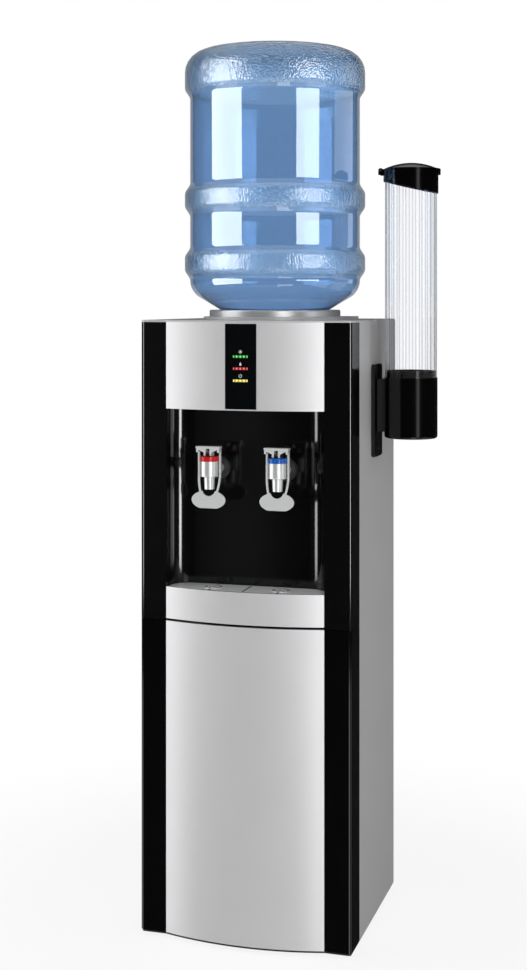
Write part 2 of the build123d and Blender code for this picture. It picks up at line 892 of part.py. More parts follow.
# Drip tray: basin, silver front, grille and two round drain inserts
tray_bottom = niche_floor
tray_top = tray_bottom + tray_height
drain_y = (niche_y + bow_y(0, trim_sheet)) / 2
drain_places = [(x, drain_y) for x in tap_xs]


def tray_plan(inset):
    with BuildSketch() as plan:
        add(niche_plan(tray_gap, trim_sheet))
        offset(amount=-inset, kind=Kind.INTERSECTION)
    return plan.sketch


with BuildPart() as drip_basin:
    with BuildSketch(Plane.XY.offset(tray_bottom)):
        add(niche_plan(tray_gap, trim_sheet))
    extrude(amount=tray_height)
    with BuildSketch(Plane.XY.offset(tray_bottom + tray_wall)):
        add(tray_plan(tray_wall))
    extrude(amount=tray_height, mode=Mode.SUBTRACT)
    with BuildSketch(Plane.XY.offset(tray_top - grille_sheet)):
        add(tray_plan(tray_wall / 2))
        add(tray_plan(tray_wall + tray_ledge), mode=Mode.SUBTRACT)
    extrude(amount=-tray_wall)
save(drip_basin.part, "drip_basin")

with BuildPart() as drip_tray_front:
    with BuildSketch(Plane.XY.offset(tray_bottom)):
        add(bowed_strip(trim_half - tray_gap, 0, trim_sheet))
    extrude(amount=tray_height)
save(drip_tray_front.part, "drip_tray_front")

with BuildPart() as drip_grille:
    with BuildSketch(Plane.XY.offset(tray_top - grille_sheet)):
        add(tray_plan(tray_wall + grille_gap))
        slot_length = niche_y - bow_y(0, trim_sheet) - 2 * slot_margin
        with Locations((0, drain_y), *drain_places):
            SlotOverall(slot_length, slot_width, rotation=90, mode=Mode.SUBTRACT)
        with Locations(*drain_places):
            Circle(drain_radius, mode=Mode.SUBTRACT)
    extrude(amount=grille_sheet)
save(drip_grille.part, "drip_grille")

with BuildPart() as drain_inserts:
    barrel = drain_radius - drain_gap
    with BuildSketch(Plane.XY.offset(tray_top - grille_sheet)):
        with Locations(*drain_places):
            Circle(barrel)
            Circle(barrel - drain_rim, mode=Mode.SUBTRACT)
    extrude(amount=grille_sheet)
    with BuildSketch(Plane.XY.offset(tray_top)):
        with Locations(*drain_places):
            Circle(drain_radius + drain_rim)
            Circle(barrel - drain_rim, mode=Mode.SUBTRACT)
    extrude(amount=drain_rim_height)
    with BuildSketch(Plane.XY.offset(tray_top - grille_sheet)):
        with Locations(*drain_places):
            Circle(drain_dome_radius)
            Rectangle(2 * barrel - drain_rim, drain_spoke)
            Rectangle(drain_spoke, 2 * barrel - drain_rim)
    extrude(amount=grille_sheet / 2)
    with BuildSketch(Plane.XY.offset(tray_top - grille_sheet / 2)):
        with Locations(*drain_places):
            Circle(drain_dome_radius)
    extrude(amount=drain_dome_height)
    fillet(drain_inserts.edges().group_by(Axis.Z)[-1], drain_dome_edge)
save(drain_inserts.part, "drain_inserts")

# Cold tank in its foam, with the lid round the seat's tube and the baffle inside
tank_top = mouth_z
tank_floor = tank_top - tank_height
foam_bottom = tank_floor - foam_floor
tank_mid = tank_floor + tank_height / 2
tank_rear_y = bottle_y + tank_radius
block_rear_y = tank_rear_y + block_depth
spigot_places = [(0, bottle_y), (tap_xs[1], outlet_y)]
spigot_end = foam_bottom - spigot_length
with BuildPart() as cold_tank:
    with BuildSketch(upright(0, bottle_y)):
        with BuildLine():
            Polyline(
                (tank_radius + tank_flange, tank_top - tank_wall), (tank_radius, tank_top - tank_wall),
                (tank_radius, tank_floor), (0, tank_floor),
            )
            offset(amount=tank_wall, side=Side.RIGHT, kind=Kind.INTERSECTION)
        make_face()
    revolve(axis=bottle_axis)
    with BuildSketch(Plane.XY.offset(spigot_end)):
        with Locations(*spigot_places):
            Circle(spigot_radius)
    extrude(amount=tank_floor - spigot_end)
    with BuildSketch(Plane.XY.offset(spigot_end)):
        with Locations(*spigot_places):
            Circle(spigot_bore)
    extrude(amount=tank_floor - spigot_end + tank_wall, mode=Mode.SUBTRACT)
save(cold_tank.part, "cold_tank")

with BuildPart() as tank_foam:
    with BuildSketch(Plane.XY.offset(foam_bottom)):
        with Locations((0, bottle_y)):
            Circle(tank_radius + foam_side)
        with Locations((0, block_rear_y)):
            Rectangle(cabinet_width, cabinet_depth, align=(Align.CENTER, Align.MIN), mode=Mode.SUBTRACT)
        with Locations(*spigot_places):
            Circle(spigot_radius, mode=Mode.SUBTRACT)
    extrude(amount=tank_top - tank_wall - foam_bottom)
    with BuildSketch(Plane.XY.offset(tank_floor)):
        with Locations((0, bottle_y)):
            Circle(tank_radius)
    extrude(amount=tank_height, mode=Mode.SUBTRACT)
    with BuildSketch(Plane.XZ.offset(-block_rear_y)):
        with Locations((0, tank_mid)):
            Rectangle(block_side, block_side)
    extrude(amount=block_depth + tank_radius / 2, mode=Mode.SUBTRACT)
save(tank_foam.part, "tank_foam")

with BuildPart() as tank_lid:
    with BuildSketch(Plane.XY.offset(tank_top)):
        with Locations((0, bottle_y)):
            Circle(tank_radius + tank_flange)
            Circle(seat_tube_radius + lid_gap, mode=Mode.SUBTRACT)
    extrude(amount=lid_height)
    fillet(tank_lid.edges().group_by(Axis.Z)[-1].sort_by(SortBy.LENGTH)[-1], lid_height / 3)
save(tank_lid.part, "tank_lid")

with BuildPart() as tank_baffle:
    inner_floor = tank_floor + tank_wall
    with BuildSketch(Plane.XY.offset(inner_floor)):
        with Locations((0, bottle_y)):
            Circle(riser_radius)
    extrude(amount=baffle_height)
    with BuildSketch(Plane.XY.offset(inner_floor + baffle_height)):
        with Locations((0, bottle_y)):
            Circle(tank_radius - tank_wall - baffle_gap)
    extrude(amount=baffle_sheet)
    with BuildSketch(Plane.XY.offset(inner_floor)):
        with Locations((0, bottle_y)):
            Circle(riser_bore)
    extrude(amount=baffle_height + baffle_sheet, mode=Mode.SUBTRACT)
save(tank_baffle.part, "tank_baffle")


# Two shelves between the side panels, folded down at both ends
hot_floor = upper_bottom + hot_level
with BuildPart() as tank_shelves:
    for shelf_top in (hot_floor, foam_bottom):
        with BuildSketch(Plane.XZ.offset(shelf_front)):
            with BuildLine():
                Polyline(
                    (-side_inner, shelf_top - shelf_flange), (-side_inner, shelf_top),
                    (side_inner, shelf_top), (side_inner, shelf_top - shelf_flange),
                )
                offset(amount=shelf_sheet, side=Side.RIGHT, kind=Kind.INTERSECTION)
            make_face()
        extrude(amount=-shelf_front - shelf_rear)
    with BuildSketch(Plane.XY.offset(foam_bottom)):
        with Locations(*spigot_places):
            Circle(spigot_radius + hose_wall)
    extrude(amount=-shelf_sheet, mode=Mode.SUBTRACT)
save(tank_shelves.part, "tank_shelves")

# Hot tank with its drain pipe through the rear panel, band heater and thermostats
hot_top = hot_floor + hot_height
hot_places = [(0, bottle_y), (tap_xs[0], outlet_y)]
drain_z = hot_floor + drain_pipe_level
drain_end_y = rear_y + drain_out
with BuildPart() as hot_tank:
    with BuildSketch(upright(0, bottle_y)):
        with BuildLine():
            FilletPolyline(
                (0, hot_top), (hot_radius, hot_top), (hot_radius, hot_floor), (0, hot_floor), radius=hot_edge
            )
            offset(amount=tank_wall, side=Side.RIGHT)
        make_face()
    revolve(axis=bottle_axis)
    with BuildSketch(Plane.XY.offset(hot_top)):
        with Locations(*hot_places):
            Circle(spigot_radius)
    extrude(amount=spigot_length)
    with BuildSketch(Plane.XZ.offset(-drain_end_y)):
        with Locations((0, drain_z)):
            Circle(drain_pipe_radius)
    extrude(amount=drain_end_y - bottle_y - hot_radius + 2 * tank_wall)
    with BuildSketch(Plane.XY.offset(hot_top - 2 * tank_wall)):
        with Locations(*hot_places):
            Circle(spigot_bore)
    extrude(amount=spigot_length + 2 * tank_wall, mode=Mode.SUBTRACT)
    with BuildSketch(Plane.XZ.offset(-drain_end_y)):
        with Locations((0, drain_z)):
            Circle(drain_pipe_bore)
    extrude(amount=drain_end_y - bottle_y - hot_radius + 2 * tank_wall, mode=Mode.SUBTRACT)
save(hot_tank.part, "hot_tank")

with BuildPart() as band_heater:
    with BuildSketch(Plane.XY.offset(hot_floor + heater_level)):
        with Locations((0, bottle_y)):
            Circle(hot_radius + heater_sheet)
        with Locations((0, bottle_y - hot_radius - heater_clamp / 2)):
            Rectangle(2 * heater_clamp, 2 * heater_clamp)
        with Locations((0, bottle_y)):
            Circle(hot_radius, mode=Mode.SUBTRACT)
        with Locations((0, bottle_y - hot_radius - heater_clamp / 2)):
            Rectangle(heater_clamp, 3 * heater_clamp, mode=Mode.SUBTRACT)
    extrude(amount=heater_height)
save(band_heater.part, "band_heater")

with BuildPart() as thermostats:
    for turn in (-stat_angle, stat_angle):
        outward = Vector(0, -1, 0).rotate(Axis.Z, turn)
        centre = Vector(0, bottle_y, hot_floor + stat_level)
        with BuildSketch(Plane(centre, x_dir=vertical, z_dir=outward)):
            Circle(stat_radius)
        extrude(amount=hot_radius + stat_height)
    with BuildSketch(Plane.XY.offset(hot_floor)):
        with Locations((0, bottle_y)):
            Circle(hot_radius)
    extrude(amount=hot_height, mode=Mode.SUBTRACT)
save(thermostats.part, "thermostats")

# Hoses: sleeves that slip over the spigots and the taps' tails
tail_step = tail_end - spigot_length


def hose(name, route):
    with BuildPart() as tube:
        with BuildLine() as path:
            if len(route) > 2:
                FilletPolyline(*route, radius=hose_bend)
            else:
                Line(*route)
        with BuildSketch(Plane(path.wires()[0] @ 0, z_dir=path.wires()[0] % 0)):
            Circle(spigot_radius + hose_wall)
            Circle(spigot_radius, mode=Mode.SUBTRACT)
        sweep()
    save(tube.part, name)


hose_top = foam_bottom - shelf_sheet
hot_x, cold_x = tap_xs
hose("cold_hose", [(cold_x, outlet_y, hose_top), (cold_x, outlet_y, tap_z), (cold_x, tail_step, tap_z)])
hose("hot_outlet_hose", [(hot_x, outlet_y, hot_top), (hot_x, outlet_y, tap_z), (hot_x, tail_step, tap_z)])
hose("hot_feed_hose", [(0, bottle_y, hose_top), (0, bottle_y, hot_top)])

# Thermoelectric cooler: block on the tank, module, finned sink and fan against the rear panel
with BuildPart() as cold_block:
    with BuildSketch(Plane.XZ.offset(-block_rear_y)):
        with Locations((0, tank_mid)):
            Rectangle(block_side, block_side)
    extrude(amount=block_depth + tank_radius / 2)
    with BuildSketch(Plane.XY.offset(tank_floor)):
        with Locations((0, bottle_y)):
            Circle(tank_radius)
    extrude(amount=tank_height, mode=Mode.SUBTRACT)
save(cold_block.part, "cold_block")

sink_y = block_rear_y + module_sheet
fan_y = rear_inner_y - fan_depth
with BuildPart() as peltier_module:
    with BuildSketch(Plane.XZ.offset(-block_rear_y)):
        with Locations((0, tank_mid)):
            Rectangle(block_side, block_side)
    extrude(amount=-module_sheet)
save(peltier_module.part, "peltier_module")

with BuildPart() as heat_sink:
    with BuildSketch(Plane.XZ.offset(-sink_y)):
        with Locations((0, tank_mid)):
            Rectangle(sink_width, sink_height)
    extrude(amount=-sink_base)
    with BuildSketch(Plane.XZ.offset(-sink_y)):
        with Locations((0, tank_mid)):
            with GridLocations((sink_width - fin_sheet) / (fin_count - 1), 0, fin_count, 1):
                Rectangle(fin_sheet, sink_height)
    extrude(amount=sink_y - fan_y)
save(heat_sink.part, "heat_sink")

with BuildPart() as fan_frame:
    with BuildSketch(Plane.XZ.offset(-fan_y)):
        with Locations((0, tank_mid)):
            RectangleRounded(fan_side, fan_side, fan_corner)
            Circle(fan_bore, mode=Mode.SUBTRACT)
    extrude(amount=-fan_depth)
    with BuildSketch(Plane.XZ.offset(-rear_inner_y)):
        with Locations((0, tank_mid)):
            Circle(fan_hub)
            Rectangle(2 * fan_bore + fan_web, 2 * fan_web)
            Rectangle(2 * fan_web, 2 * fan_bore + fan_web)
    extrude(amount=fan_web)
    with BuildSketch(Plane.XZ.offset(-rear_inner_y)):
        with Locations((0, tank_mid)):
            Circle(shaft_radius)
    extrude(amount=fan_depth - 2 * fan_web)
save(fan_frame.part, "fan_frame")

rotor_front_y = fan_y + fan_web
rotor_rear_y = rear_inner_y - fan_web - hub_gap
with BuildPart() as fan_rotor:
    with BuildSketch(Plane.XZ.offset(-rotor_rear_y)):
        with Locations((0, tank_mid)):
            Circle(fan_hub)
    extrude(amount=rotor_rear_y - rotor_front_y)
    blade_mid_y = (rotor_front_y + rotor_rear_y) / 2
    chord = (rotor_rear_y - rotor_front_y - 2 * blade_sheet) / cos(radians(blade_pitch))
    for index in range(blade_count):
        angle = radians(360 * index / blade_count)
        outward = Vector(cos(angle), 0, sin(angle))
        root = Vector(0, blade_mid_y, tank_mid) + outward * (fan_hub - 2 * blade_sheet)
        with BuildSketch(Plane(root, x_dir=(0, 1, 0), z_dir=outward)):
            Rectangle(chord, blade_sheet, rotation=blade_pitch)
        extrude(amount=fan_bore - blade_gap - fan_hub + 2 * blade_sheet)
    with BuildSketch(Plane.XZ.offset(-rotor_rear_y)):
        with Locations((0, tank_mid)):
            Circle(shaft_radius + pin_running)
    extrude(amount=fan_depth - 3 * fan_web, mode=Mode.SUBTRACT)
save(fan_rotor.part, "fan_rotor")

# Rear panel with the fan's grille, vents and the openings for switches, drain and cord gland
switch_z = upper_bottom + switch_level
switch_levels = [switch_z + place * switch_pitch / 2 for place in (1, -1)]
gland_z = panel_bottom + gland_level
with BuildPart() as rear_panel:
    with BuildSketch(Plane.XZ.offset(-rear_y)):
        with Locations((0, (panel_bottom + side_top) / 2)):
            Rectangle(cabinet_width, side_top - panel_bottom)
        rows = int(fan_bore / grille_pitch)
        for row in range(-rows, rows + 1):
            rise = row * grille_pitch
            half_slot = sqrt((fan_bore + grille_slot / 2) ** 2 - rise**2)
            with Locations((0, tank_mid + rise)):
                SlotOverall(2 * half_slot, grille_slot, mode=Mode.SUBTRACT)
        with Locations((0, panel_bottom + vent_level)):
            with GridLocations(2 * vent_offset, vent_pitch, 2, vent_rows):
                SlotOverall(vent_length, vent_width, mode=Mode.SUBTRACT)
        with Locations(*[(switch_x, level) for level in switch_levels]):
            Rectangle(switch_width, switch_length, mode=Mode.SUBTRACT)
        with Locations((0, drain_z)):
            Circle(drain_pipe_radius + drain_cap_gap, mode=Mode.SUBTRACT)
        with Locations((gland_x, gland_z)):
            Circle(gland_radius, mode=Mode.SUBTRACT)
    extrude(amount=sheet)
save(rear_panel.part, "rear_panel")

with BuildPart() as drain_cap:
    with BuildSketch(Plane.XZ.offset(-drain_end_y)):
        with Locations((0, drain_z)):
            Circle(drain_cap_radius)
            with PolarLocations(drain_cap_radius, ring_flutes):
                Circle(flute_radius, mode=Mode.SUBTRACT)
    extrude(amount=drain_out - drain_cap_wall)
    extrude(to_extrude=drain_cap.faces().sort_by(Axis.Y)[-1], amount=drain_cap_wall)
    with BuildSketch(Plane.XZ.offset(-drain_end_y)):
        with Locations((0, drain_z)):
            Circle(drain_pipe_radius + drain_cap_gap)
    extrude(amount=drain_out, mode=Mode.SUBTRACT)
save(drain_cap.part, "drain_cap")

with BuildPart() as cord_gland:
    gland_end_y = rear_y + gland_outside
    gland_length = gland_outside + sheet + gland_inside
    with BuildSketch(Plane.XZ.offset(-gland_end_y)):
        with Locations((gland_x, gland_z)):
            Circle(gland_radius)
    extrude(amount=gland_length)
    with BuildSketch(Plane.XZ.offset(-rear_y)):
        with Locations((gland_x, gland_z)):
            Circle(gland_flange)
    extrude(amount=-gland_flange_height)
    with BuildSketch(Plane.XZ.offset(-gland_end_y)):
        with Locations((gland_x, gland_z)):
            Circle(gland_bore)
    extrude(amount=gland_length, mode=Mode.SUBTRACT)
save(cord_gland.part, "cord_gland")

# Rocker switches: two housings in the rear panel, each with a tilted rocker on its own axle
rocker_y = rear_y - rocker_pivot
with BuildPart() as switch_housings:
    with BuildSketch(Plane.XZ.offset(-rear_y)):
        with Locations(*[(switch_x, level) for level in switch_levels]):
            Rectangle(switch_width + 2 * switch_rim, switch_length + 2 * switch_rim)
    extrude(amount=-switch_rim_height)
    with BuildSketch(Plane.XZ.offset(-rear_y)):
        with Locations(*[(switch_x, level) for level in switch_levels]):
            Rectangle(switch_width, switch_length)
    extrude(amount=switch_depth)
    with BuildSketch(Plane.XZ.offset(-rear_y - switch_rim_height)):
        with Locations(*[(switch_x, level) for level in switch_levels]):
            Rectangle(switch_width - 2 * switch_wall, switch_length - 2 * switch_wall)
    extrude(amount=switch_depth + switch_rim_height - switch_wall, mode=Mode.SUBTRACT)
    with BuildSketch(Plane.YZ.offset(switch_x)):
        with Locations(*[(rocker_y, level) for level in switch_levels]):
            Circle(pin_radius + pin_running)
    extrude(amount=switch_width / 2 - switch_wall / 2, both=True, mode=Mode.SUBTRACT)
save(switch_housings.part, "switch_housings")

for name, level in zip(("heating_switch", "cooling_switch"), switch_levels):
    with BuildPart() as rocker:
        with BuildSketch(Plane.YZ.offset(switch_x)):
            half = switch_length / 2 - switch_wall - 2 * rocker_gap
            with Locations(Location((rocker_y, level), -rocker_tilt)):
                Polygon(
                    (-rocker_height / 2, -half / 2), (rocker_pivot, -half), (rocker_height, -half),
                    (rocker_height - rocker_pivot, 0), (rocker_height, half), (rocker_pivot, half),
                    (-rocker_height / 2, half / 2), align=None,
                )
        extrude(amount=switch_width / 2 - switch_wall - rocker_gap, both=True)
        with BuildSketch(Plane.YZ.offset(switch_x)):
            with Locations((rocker_y, level)):
                Circle(pin_radius)
        extrude(amount=switch_width / 2 - switch_wall / 2 - rocker_gap / 4, both=True)
    save(rocker.part, name)

# Power board on pillars behind the rear panel
with BuildPart() as power_board:
    board_face_y = rear_inner_y - power_gap
    power_z = panel_bottom + vent_level + power_level
    with BuildSketch(Plane.XZ.offset(-board_face_y)):
        with Locations((power_x, power_z)):
            Rectangle(power_width, power_height)
    extrude(amount=board_sheet)
    with BuildSketch(Plane.XZ.offset(-board_face_y)):
        with Locations((power_x, power_z)):
            with GridLocations(power_width - 4 * boss_radius, power_height - 4 * boss_radius, 2, 2):
                Circle(boss_radius)
    extrude(amount=-power_gap)
    board_front_y = board_face_y - board_sheet
    with BuildSketch(Plane.XZ.offset(-board_front_y)):
        with Locations((power_x, power_z + transformer_side / 2)):
            RectangleRounded(transformer_side, transformer_side, boss_radius)
    extrude(amount=transformer_height)
    with BuildSketch(Plane.XZ.offset(-board_front_y)):
        with Locations((power_x, power_z - 2 * capacitor_radius)):
            with GridLocations(3 * capacitor_radius, 0, capacitor_count, 1):
                Circle(capacitor_radius)
    extrude(amount=capacitor_height)
save(power_board.part, "power_board")

# Cup dispenser on the right side: bracket with a vertical slot for the holder's rail
cup_x = half_width + cup_reach
cup_axis = Axis((cup_x, cup_y, 0), (0, 0, 1))
bracket_face = half_width + bracket_sheet
rail_bottom = holder_bottom + neck_rise
slot_height = bracket_bottom + bracket_height - rail_bottom
lip_face = bracket_face - bracket_lip


def rail_plan(width, height):
    with BuildSketch() as rail:
        with Locations((cup_y, rail_bottom)):
            Rectangle(width, height, align=(Align.CENTER, Align.MIN))
    return rail.sketch


with BuildPart() as cup_bracket:
    with BuildSketch(Plane.YZ.offset(half_width)):
        with Locations((cup_y, bracket_bottom + bracket_height / 2)):
            RectangleRounded(bracket_width, bracket_height, bracket_radius)
    extrude(amount=bracket_sheet)
    with BuildSketch(Plane.YZ.offset(half_width)):
        add(rail_plan(rail_head, slot_height))
    extrude(amount=bracket_sheet - bracket_lip, mode=Mode.SUBTRACT)
    with BuildSketch(Plane.YZ.offset(half_width)):
        add(rail_plan(rail_neck, slot_height))
    extrude(amount=bracket_sheet, mode=Mode.SUBTRACT)
    fillet(cup_bracket.edges().filter_by(GeomType.CIRCLE).group_by(Axis.X)[-1], bracket_lip / 2)
save(cup_bracket.part, "cup_bracket")

holder_top = holder_bottom + holder_height
with BuildPart() as cup_holder:
    with BuildSketch(upright(cup_x, cup_y)):
        with Locations((0, holder_bottom)):
            Rectangle(holder_radius, holder_height, align=(Align.MIN, Align.MIN))
        fillet(vertices().group_by(Axis.Y)[0].sort_by(Axis.X)[-1], holder_edge)
        with Locations((0, holder_top)):
            Rectangle(tube_bore - cup_cap_gap, spigot_height, align=(Align.MIN, Align.MIN))
    revolve(axis=cup_axis)
    for start, end, width in (
        (half_width + rail_gap, lip_face - rail_gap, rail_head - 2 * rail_gap),
        (half_width + rail_gap, cup_x, rail_neck - 2 * rail_gap),
        (bracket_face + rail_gap, cup_x, neck_width),
    ):
        with BuildSketch(Plane.YZ.offset(start)):
            add(rail_plan(width, neck_height))
        extrude(amount=end - start)
    with BuildSketch(Plane.XY.offset(holder_bottom)):
        with Locations((cup_x, cup_y)):
            Circle(retainer_bore)
            with PolarLocations(retainer_bore, retainer_tabs):
                Rectangle(2 * tab_reach, tab_width, mode=Mode.SUBTRACT)
    extrude(amount=holder_height, mode=Mode.SUBTRACT)
    with BuildSketch(Plane.XY.offset(holder_bottom + holder_lip)):
        with Locations((cup_x, cup_y)):
            Circle(holder_bore)
    extrude(amount=holder_height + spigot_height, mode=Mode.SUBTRACT)
save(cup_holder.part, "cup_holder")

tube_top = holder_top + tube_height
with BuildPart() as cup_tube:
    with BuildSketch(Plane.XY.offset(holder_top)):
        with Locations((cup_x, cup_y)):
            Circle(tube_bore + tube_wall)
            with PolarLocations(tube_bore + tube_wall, rib_count):
                Rectangle(2 * rib_height, rib_width)
            Circle(tube_bore, mode=Mode.SUBTRACT)
    extrude(amount=tube_height)
save(cup_tube.part, "cup_tube")

# Cap of the tube with a slanted skirt, and its hinged lid
cap_face = tube_top + cup_cap_rise
hinge_x = cup_x - cup_cap_radius - knuckle_radius - knuckle_gap
lid_bottom = cap_face + lid_seat
cap_to_hinge = lid_seat + lid_rim / 2
hinge_z = cap_face + cap_to_hinge
ear_half = knuckle_half + knuckle_gap
skirt_slope = cup_cap_slant / (2 * cup_cap_radius)
skirt_cut = Plane((cup_x, cup_y, tube_top - cup_cap_skirt), z_dir=(skirt_slope, 0, 1))
with BuildPart() as cup_tube_cap:
    with BuildSketch(Plane.XY.offset(tube_top - 2 * cup_cap_skirt)):
        with Locations((cup_x, cup_y)):
            Circle(cup_cap_radius)
    extrude(amount=2 * cup_cap_skirt + cup_cap_rise)
    split(bisect_by=skirt_cut, keep=Keep.TOP)
    for place in (ear_half, -ear_half - knuckle_ear):
        with BuildSketch(Plane.XZ.offset(-cup_y - place)):
            with Locations((hinge_x, hinge_z)):
                Circle(knuckle_radius)
            with Locations((hinge_x, cap_face - ear_foot)):
                Rectangle(2 * knuckle_radius, ear_foot + cap_to_hinge, align=(Align.CENTER, Align.MIN))
                Rectangle(2 * knuckle_radius, ear_foot, align=(Align.MIN, Align.MIN))
        extrude(amount=-knuckle_ear)
    with BuildSketch(Plane.XY.offset(tube_top - 2 * cup_cap_skirt)):
        with Locations((cup_x, cup_y)):
            Circle(tube_bore + tube_wall + rib_height + cup_cap_gap)
    extrude(amount=2 * cup_cap_skirt, mode=Mode.SUBTRACT)
    with BuildSketch(Plane.XY.offset(tube_top)):
        with Locations((cup_x, cup_y)):
            Circle(tube_bore)
    extrude(amount=4 * knuckle_radius, mode=Mode.SUBTRACT)
    with BuildSketch(Plane.XZ.offset(-cup_y)):
        with Locations((hinge_x, hinge_z)):
            Circle(pin_radius)
    extrude(amount=ear_half + knuckle_ear, both=True, mode=Mode.SUBTRACT)
save(cup_tube_cap.part, "cup_tube_cap")

with BuildPart() as cup_lid:
    lid_top = lid_bottom + lid_rim
    with BuildSketch(upright(cup_x, cup_y)):
        with BuildLine():
            crown = TangentArc((0, lid_top + lid_dome), (cup_cap_radius, lid_top), tangent=(1, 0))
            hollow = TangentArc(
                (0, lid_top + lid_dome - lid_sheet), (tube_bore, lid_bottom), tangent=(1, 0)
            )
            Line(crown @ 0, hollow @ 0)
            Polyline(crown @ 1, (cup_cap_radius, lid_bottom), hollow @ 1)
        make_face()
    revolve(axis=cup_axis)
    with BuildSketch(Plane.XY.offset(lid_top)):
        with Locations((cup_x, cup_y)):
            Circle(cup_cap_radius + cup_cap_gap + lid_lip)
            Circle(cup_cap_radius + cup_cap_gap, mode=Mode.SUBTRACT)
            Rectangle(2 * cup_reach, lid_lip_width, align=(Align.MIN, Align.CENTER), mode=Mode.INTERSECT)
    extrude(amount=-lid_lip_drop)
    with BuildSketch(Plane.XY.offset(lid_bottom)):
        with Locations((cup_x, cup_y)):
            Circle(cup_cap_radius + lid_lip)
            Circle(tube_bore, mode=Mode.SUBTRACT)
            Rectangle(2 * cup_reach, lid_lip_width, align=(Align.MIN, Align.CENTER), mode=Mode.INTERSECT)
    extrude(amount=lid_rim)
    with BuildSketch(Plane.XZ.offset(-cup_y)):
        with Locations((hinge_x, hinge_z)):
            Circle(knuckle_radius)
        with Locations((hinge_x, lid_bottom)):
            Rectangle(2 * knuckle_radius + lid_lip, lid_rim, align=(Align.MIN, Align.MIN))
        with Locations((hinge_x, hinge_z)):
            Circle(pin_radius + pin_running, mode=Mode.SUBTRACT)
    extrude(amount=knuckle_half, both=True)
save(cup_lid.part, "cup_lid")

with BuildPart() as cup_lid_pin:
    with BuildSketch(Plane.XZ.offset(-cup_y)):
        with Locations((hinge_x, hinge_z)):
            Circle(pin_radius)
    extrude(amount=ear_half + knuckle_ear, both=True)
save(cup_lid_pin.part, "cup_lid_pin")
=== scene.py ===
import json
import math

import bpy
from mathutils import Matrix, Quaternion, Vector

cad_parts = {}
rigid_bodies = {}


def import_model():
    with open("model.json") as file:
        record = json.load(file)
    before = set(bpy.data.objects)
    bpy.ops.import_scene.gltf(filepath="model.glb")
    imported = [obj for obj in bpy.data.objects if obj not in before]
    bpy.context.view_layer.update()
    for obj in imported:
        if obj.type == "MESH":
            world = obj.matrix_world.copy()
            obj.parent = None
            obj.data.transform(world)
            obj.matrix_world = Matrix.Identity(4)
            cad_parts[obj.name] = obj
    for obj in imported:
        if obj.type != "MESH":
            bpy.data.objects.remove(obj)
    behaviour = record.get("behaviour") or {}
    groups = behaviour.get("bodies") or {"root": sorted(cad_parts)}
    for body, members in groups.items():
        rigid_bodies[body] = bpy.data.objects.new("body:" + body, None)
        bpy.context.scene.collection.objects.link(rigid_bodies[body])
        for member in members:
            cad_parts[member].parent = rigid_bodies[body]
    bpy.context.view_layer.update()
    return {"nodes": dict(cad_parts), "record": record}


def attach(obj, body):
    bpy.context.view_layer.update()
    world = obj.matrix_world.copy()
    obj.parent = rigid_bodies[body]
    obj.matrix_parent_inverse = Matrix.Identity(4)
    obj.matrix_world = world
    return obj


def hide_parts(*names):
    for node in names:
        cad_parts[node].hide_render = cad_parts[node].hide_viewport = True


# Looks of a free-standing water cooler: bottle on top, two lever taps, cup dispenser on the side
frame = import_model()
nodes = frame["nodes"]
nodeSlots = {row["node"]: row["material_slot"] for row in frame["record"]["subparts"]}
print("frame loaded:", len(nodes), "nodes")


class Shade:
    # a shader socket that takes plus, minus, times and the like, and the tree that it is in
    def __init__(self, tree, socket=None):
        self.tree = tree
        self.socket = socket

    def node(self, kind, settings=None, sockets=None, out=0):
        made = self.tree.nodes.new(kind)
        for name, value in (settings or {}).items():
            setattr(made, name, value)
        for name, value in (sockets or {}).items():
            if isinstance(value, Shade):
                self.tree.links.new(value.socket, made.inputs[name])
            else:
                made.inputs[name].default_value = value
        return Shade(self.tree, made.outputs[out]) if len(made.outputs) else None

    def maths(self, operation, first, second=0.0):
        return self.node("ShaderNodeMath", {"operation": operation}, {0: first, 1: second})

    def __add__(self, other):
        return self.maths("ADD", self, other)

    __radd__ = __add__

    def __sub__(self, other):
        return self.maths("SUBTRACT", self, other)

    def __rsub__(self, other):
        return self.maths("SUBTRACT", other, self)

    def __mul__(self, other):
        return self.maths("MULTIPLY", self, other)

    __rmul__ = __mul__

    def __gt__(self, other):
        return self.maths("GREATER_THAN", self, other)

    def __lt__(self, other):
        return self.maths("LESS_THAN", self, other)


def newFinish(name):
    material = bpy.data.materials.new(name)
    material.use_nodes = True
    material.node_tree.nodes.clear()
    return material, Shade(material.node_tree)


def rgba(colour):
    return (*colour, 1.0)


def mixColour(shade, share, first, second):
    first = first if isinstance(first, Shade) else rgba(first)
    second = second if isinstance(second, Shade) else rgba(second)
    return shade.node("ShaderNodeMix", {"data_type": "RGBA"}, {0: share, 6: first, 7: second}, 2)


def objectPlace(shade):
    return shade.node("ShaderNodeTexCoord", out="Object")


def axisOf(shade, place, axis):
    return shade.node("ShaderNodeSeparateXYZ", sockets={0: place}, out=axis)


def rayKind(shade, kind):
    return shade.node("ShaderNodeLightPath", out=kind)


def smoothRamp(shade, value, start, end, first, last):
    return shade.node(
        "ShaderNodeMapRange",
        {"interpolation_type": "SMOOTHSTEP"},
        {"Value": value, "From Min": start, "From Max": end, "To Min": first, "To Max": last},
    )


def noise(shade, place, size, detail=2.0):
    return shade.node("ShaderNodeTexNoise", sockets={"Vector": place, "Scale": 1 / size, "Detail": detail})


def bump(shade, height, depth):
    return shade.node("ShaderNodeBump", sockets={"Height": height, "Distance": depth, "Strength": 1.0})


def endFinish(shade, **sockets):
    # Base_Color stands for Base Color, and so on
    named = {name.replace("_", " "): value for name, value in sockets.items()}
    if "Specular" in named:
        named["Specular IOR Level"] = named.pop("Specular")
    surface = shade.node("ShaderNodeBsdfPrincipled", sockets=named)
    shade.node("ShaderNodeOutputMaterial", sockets={"Surface": surface})


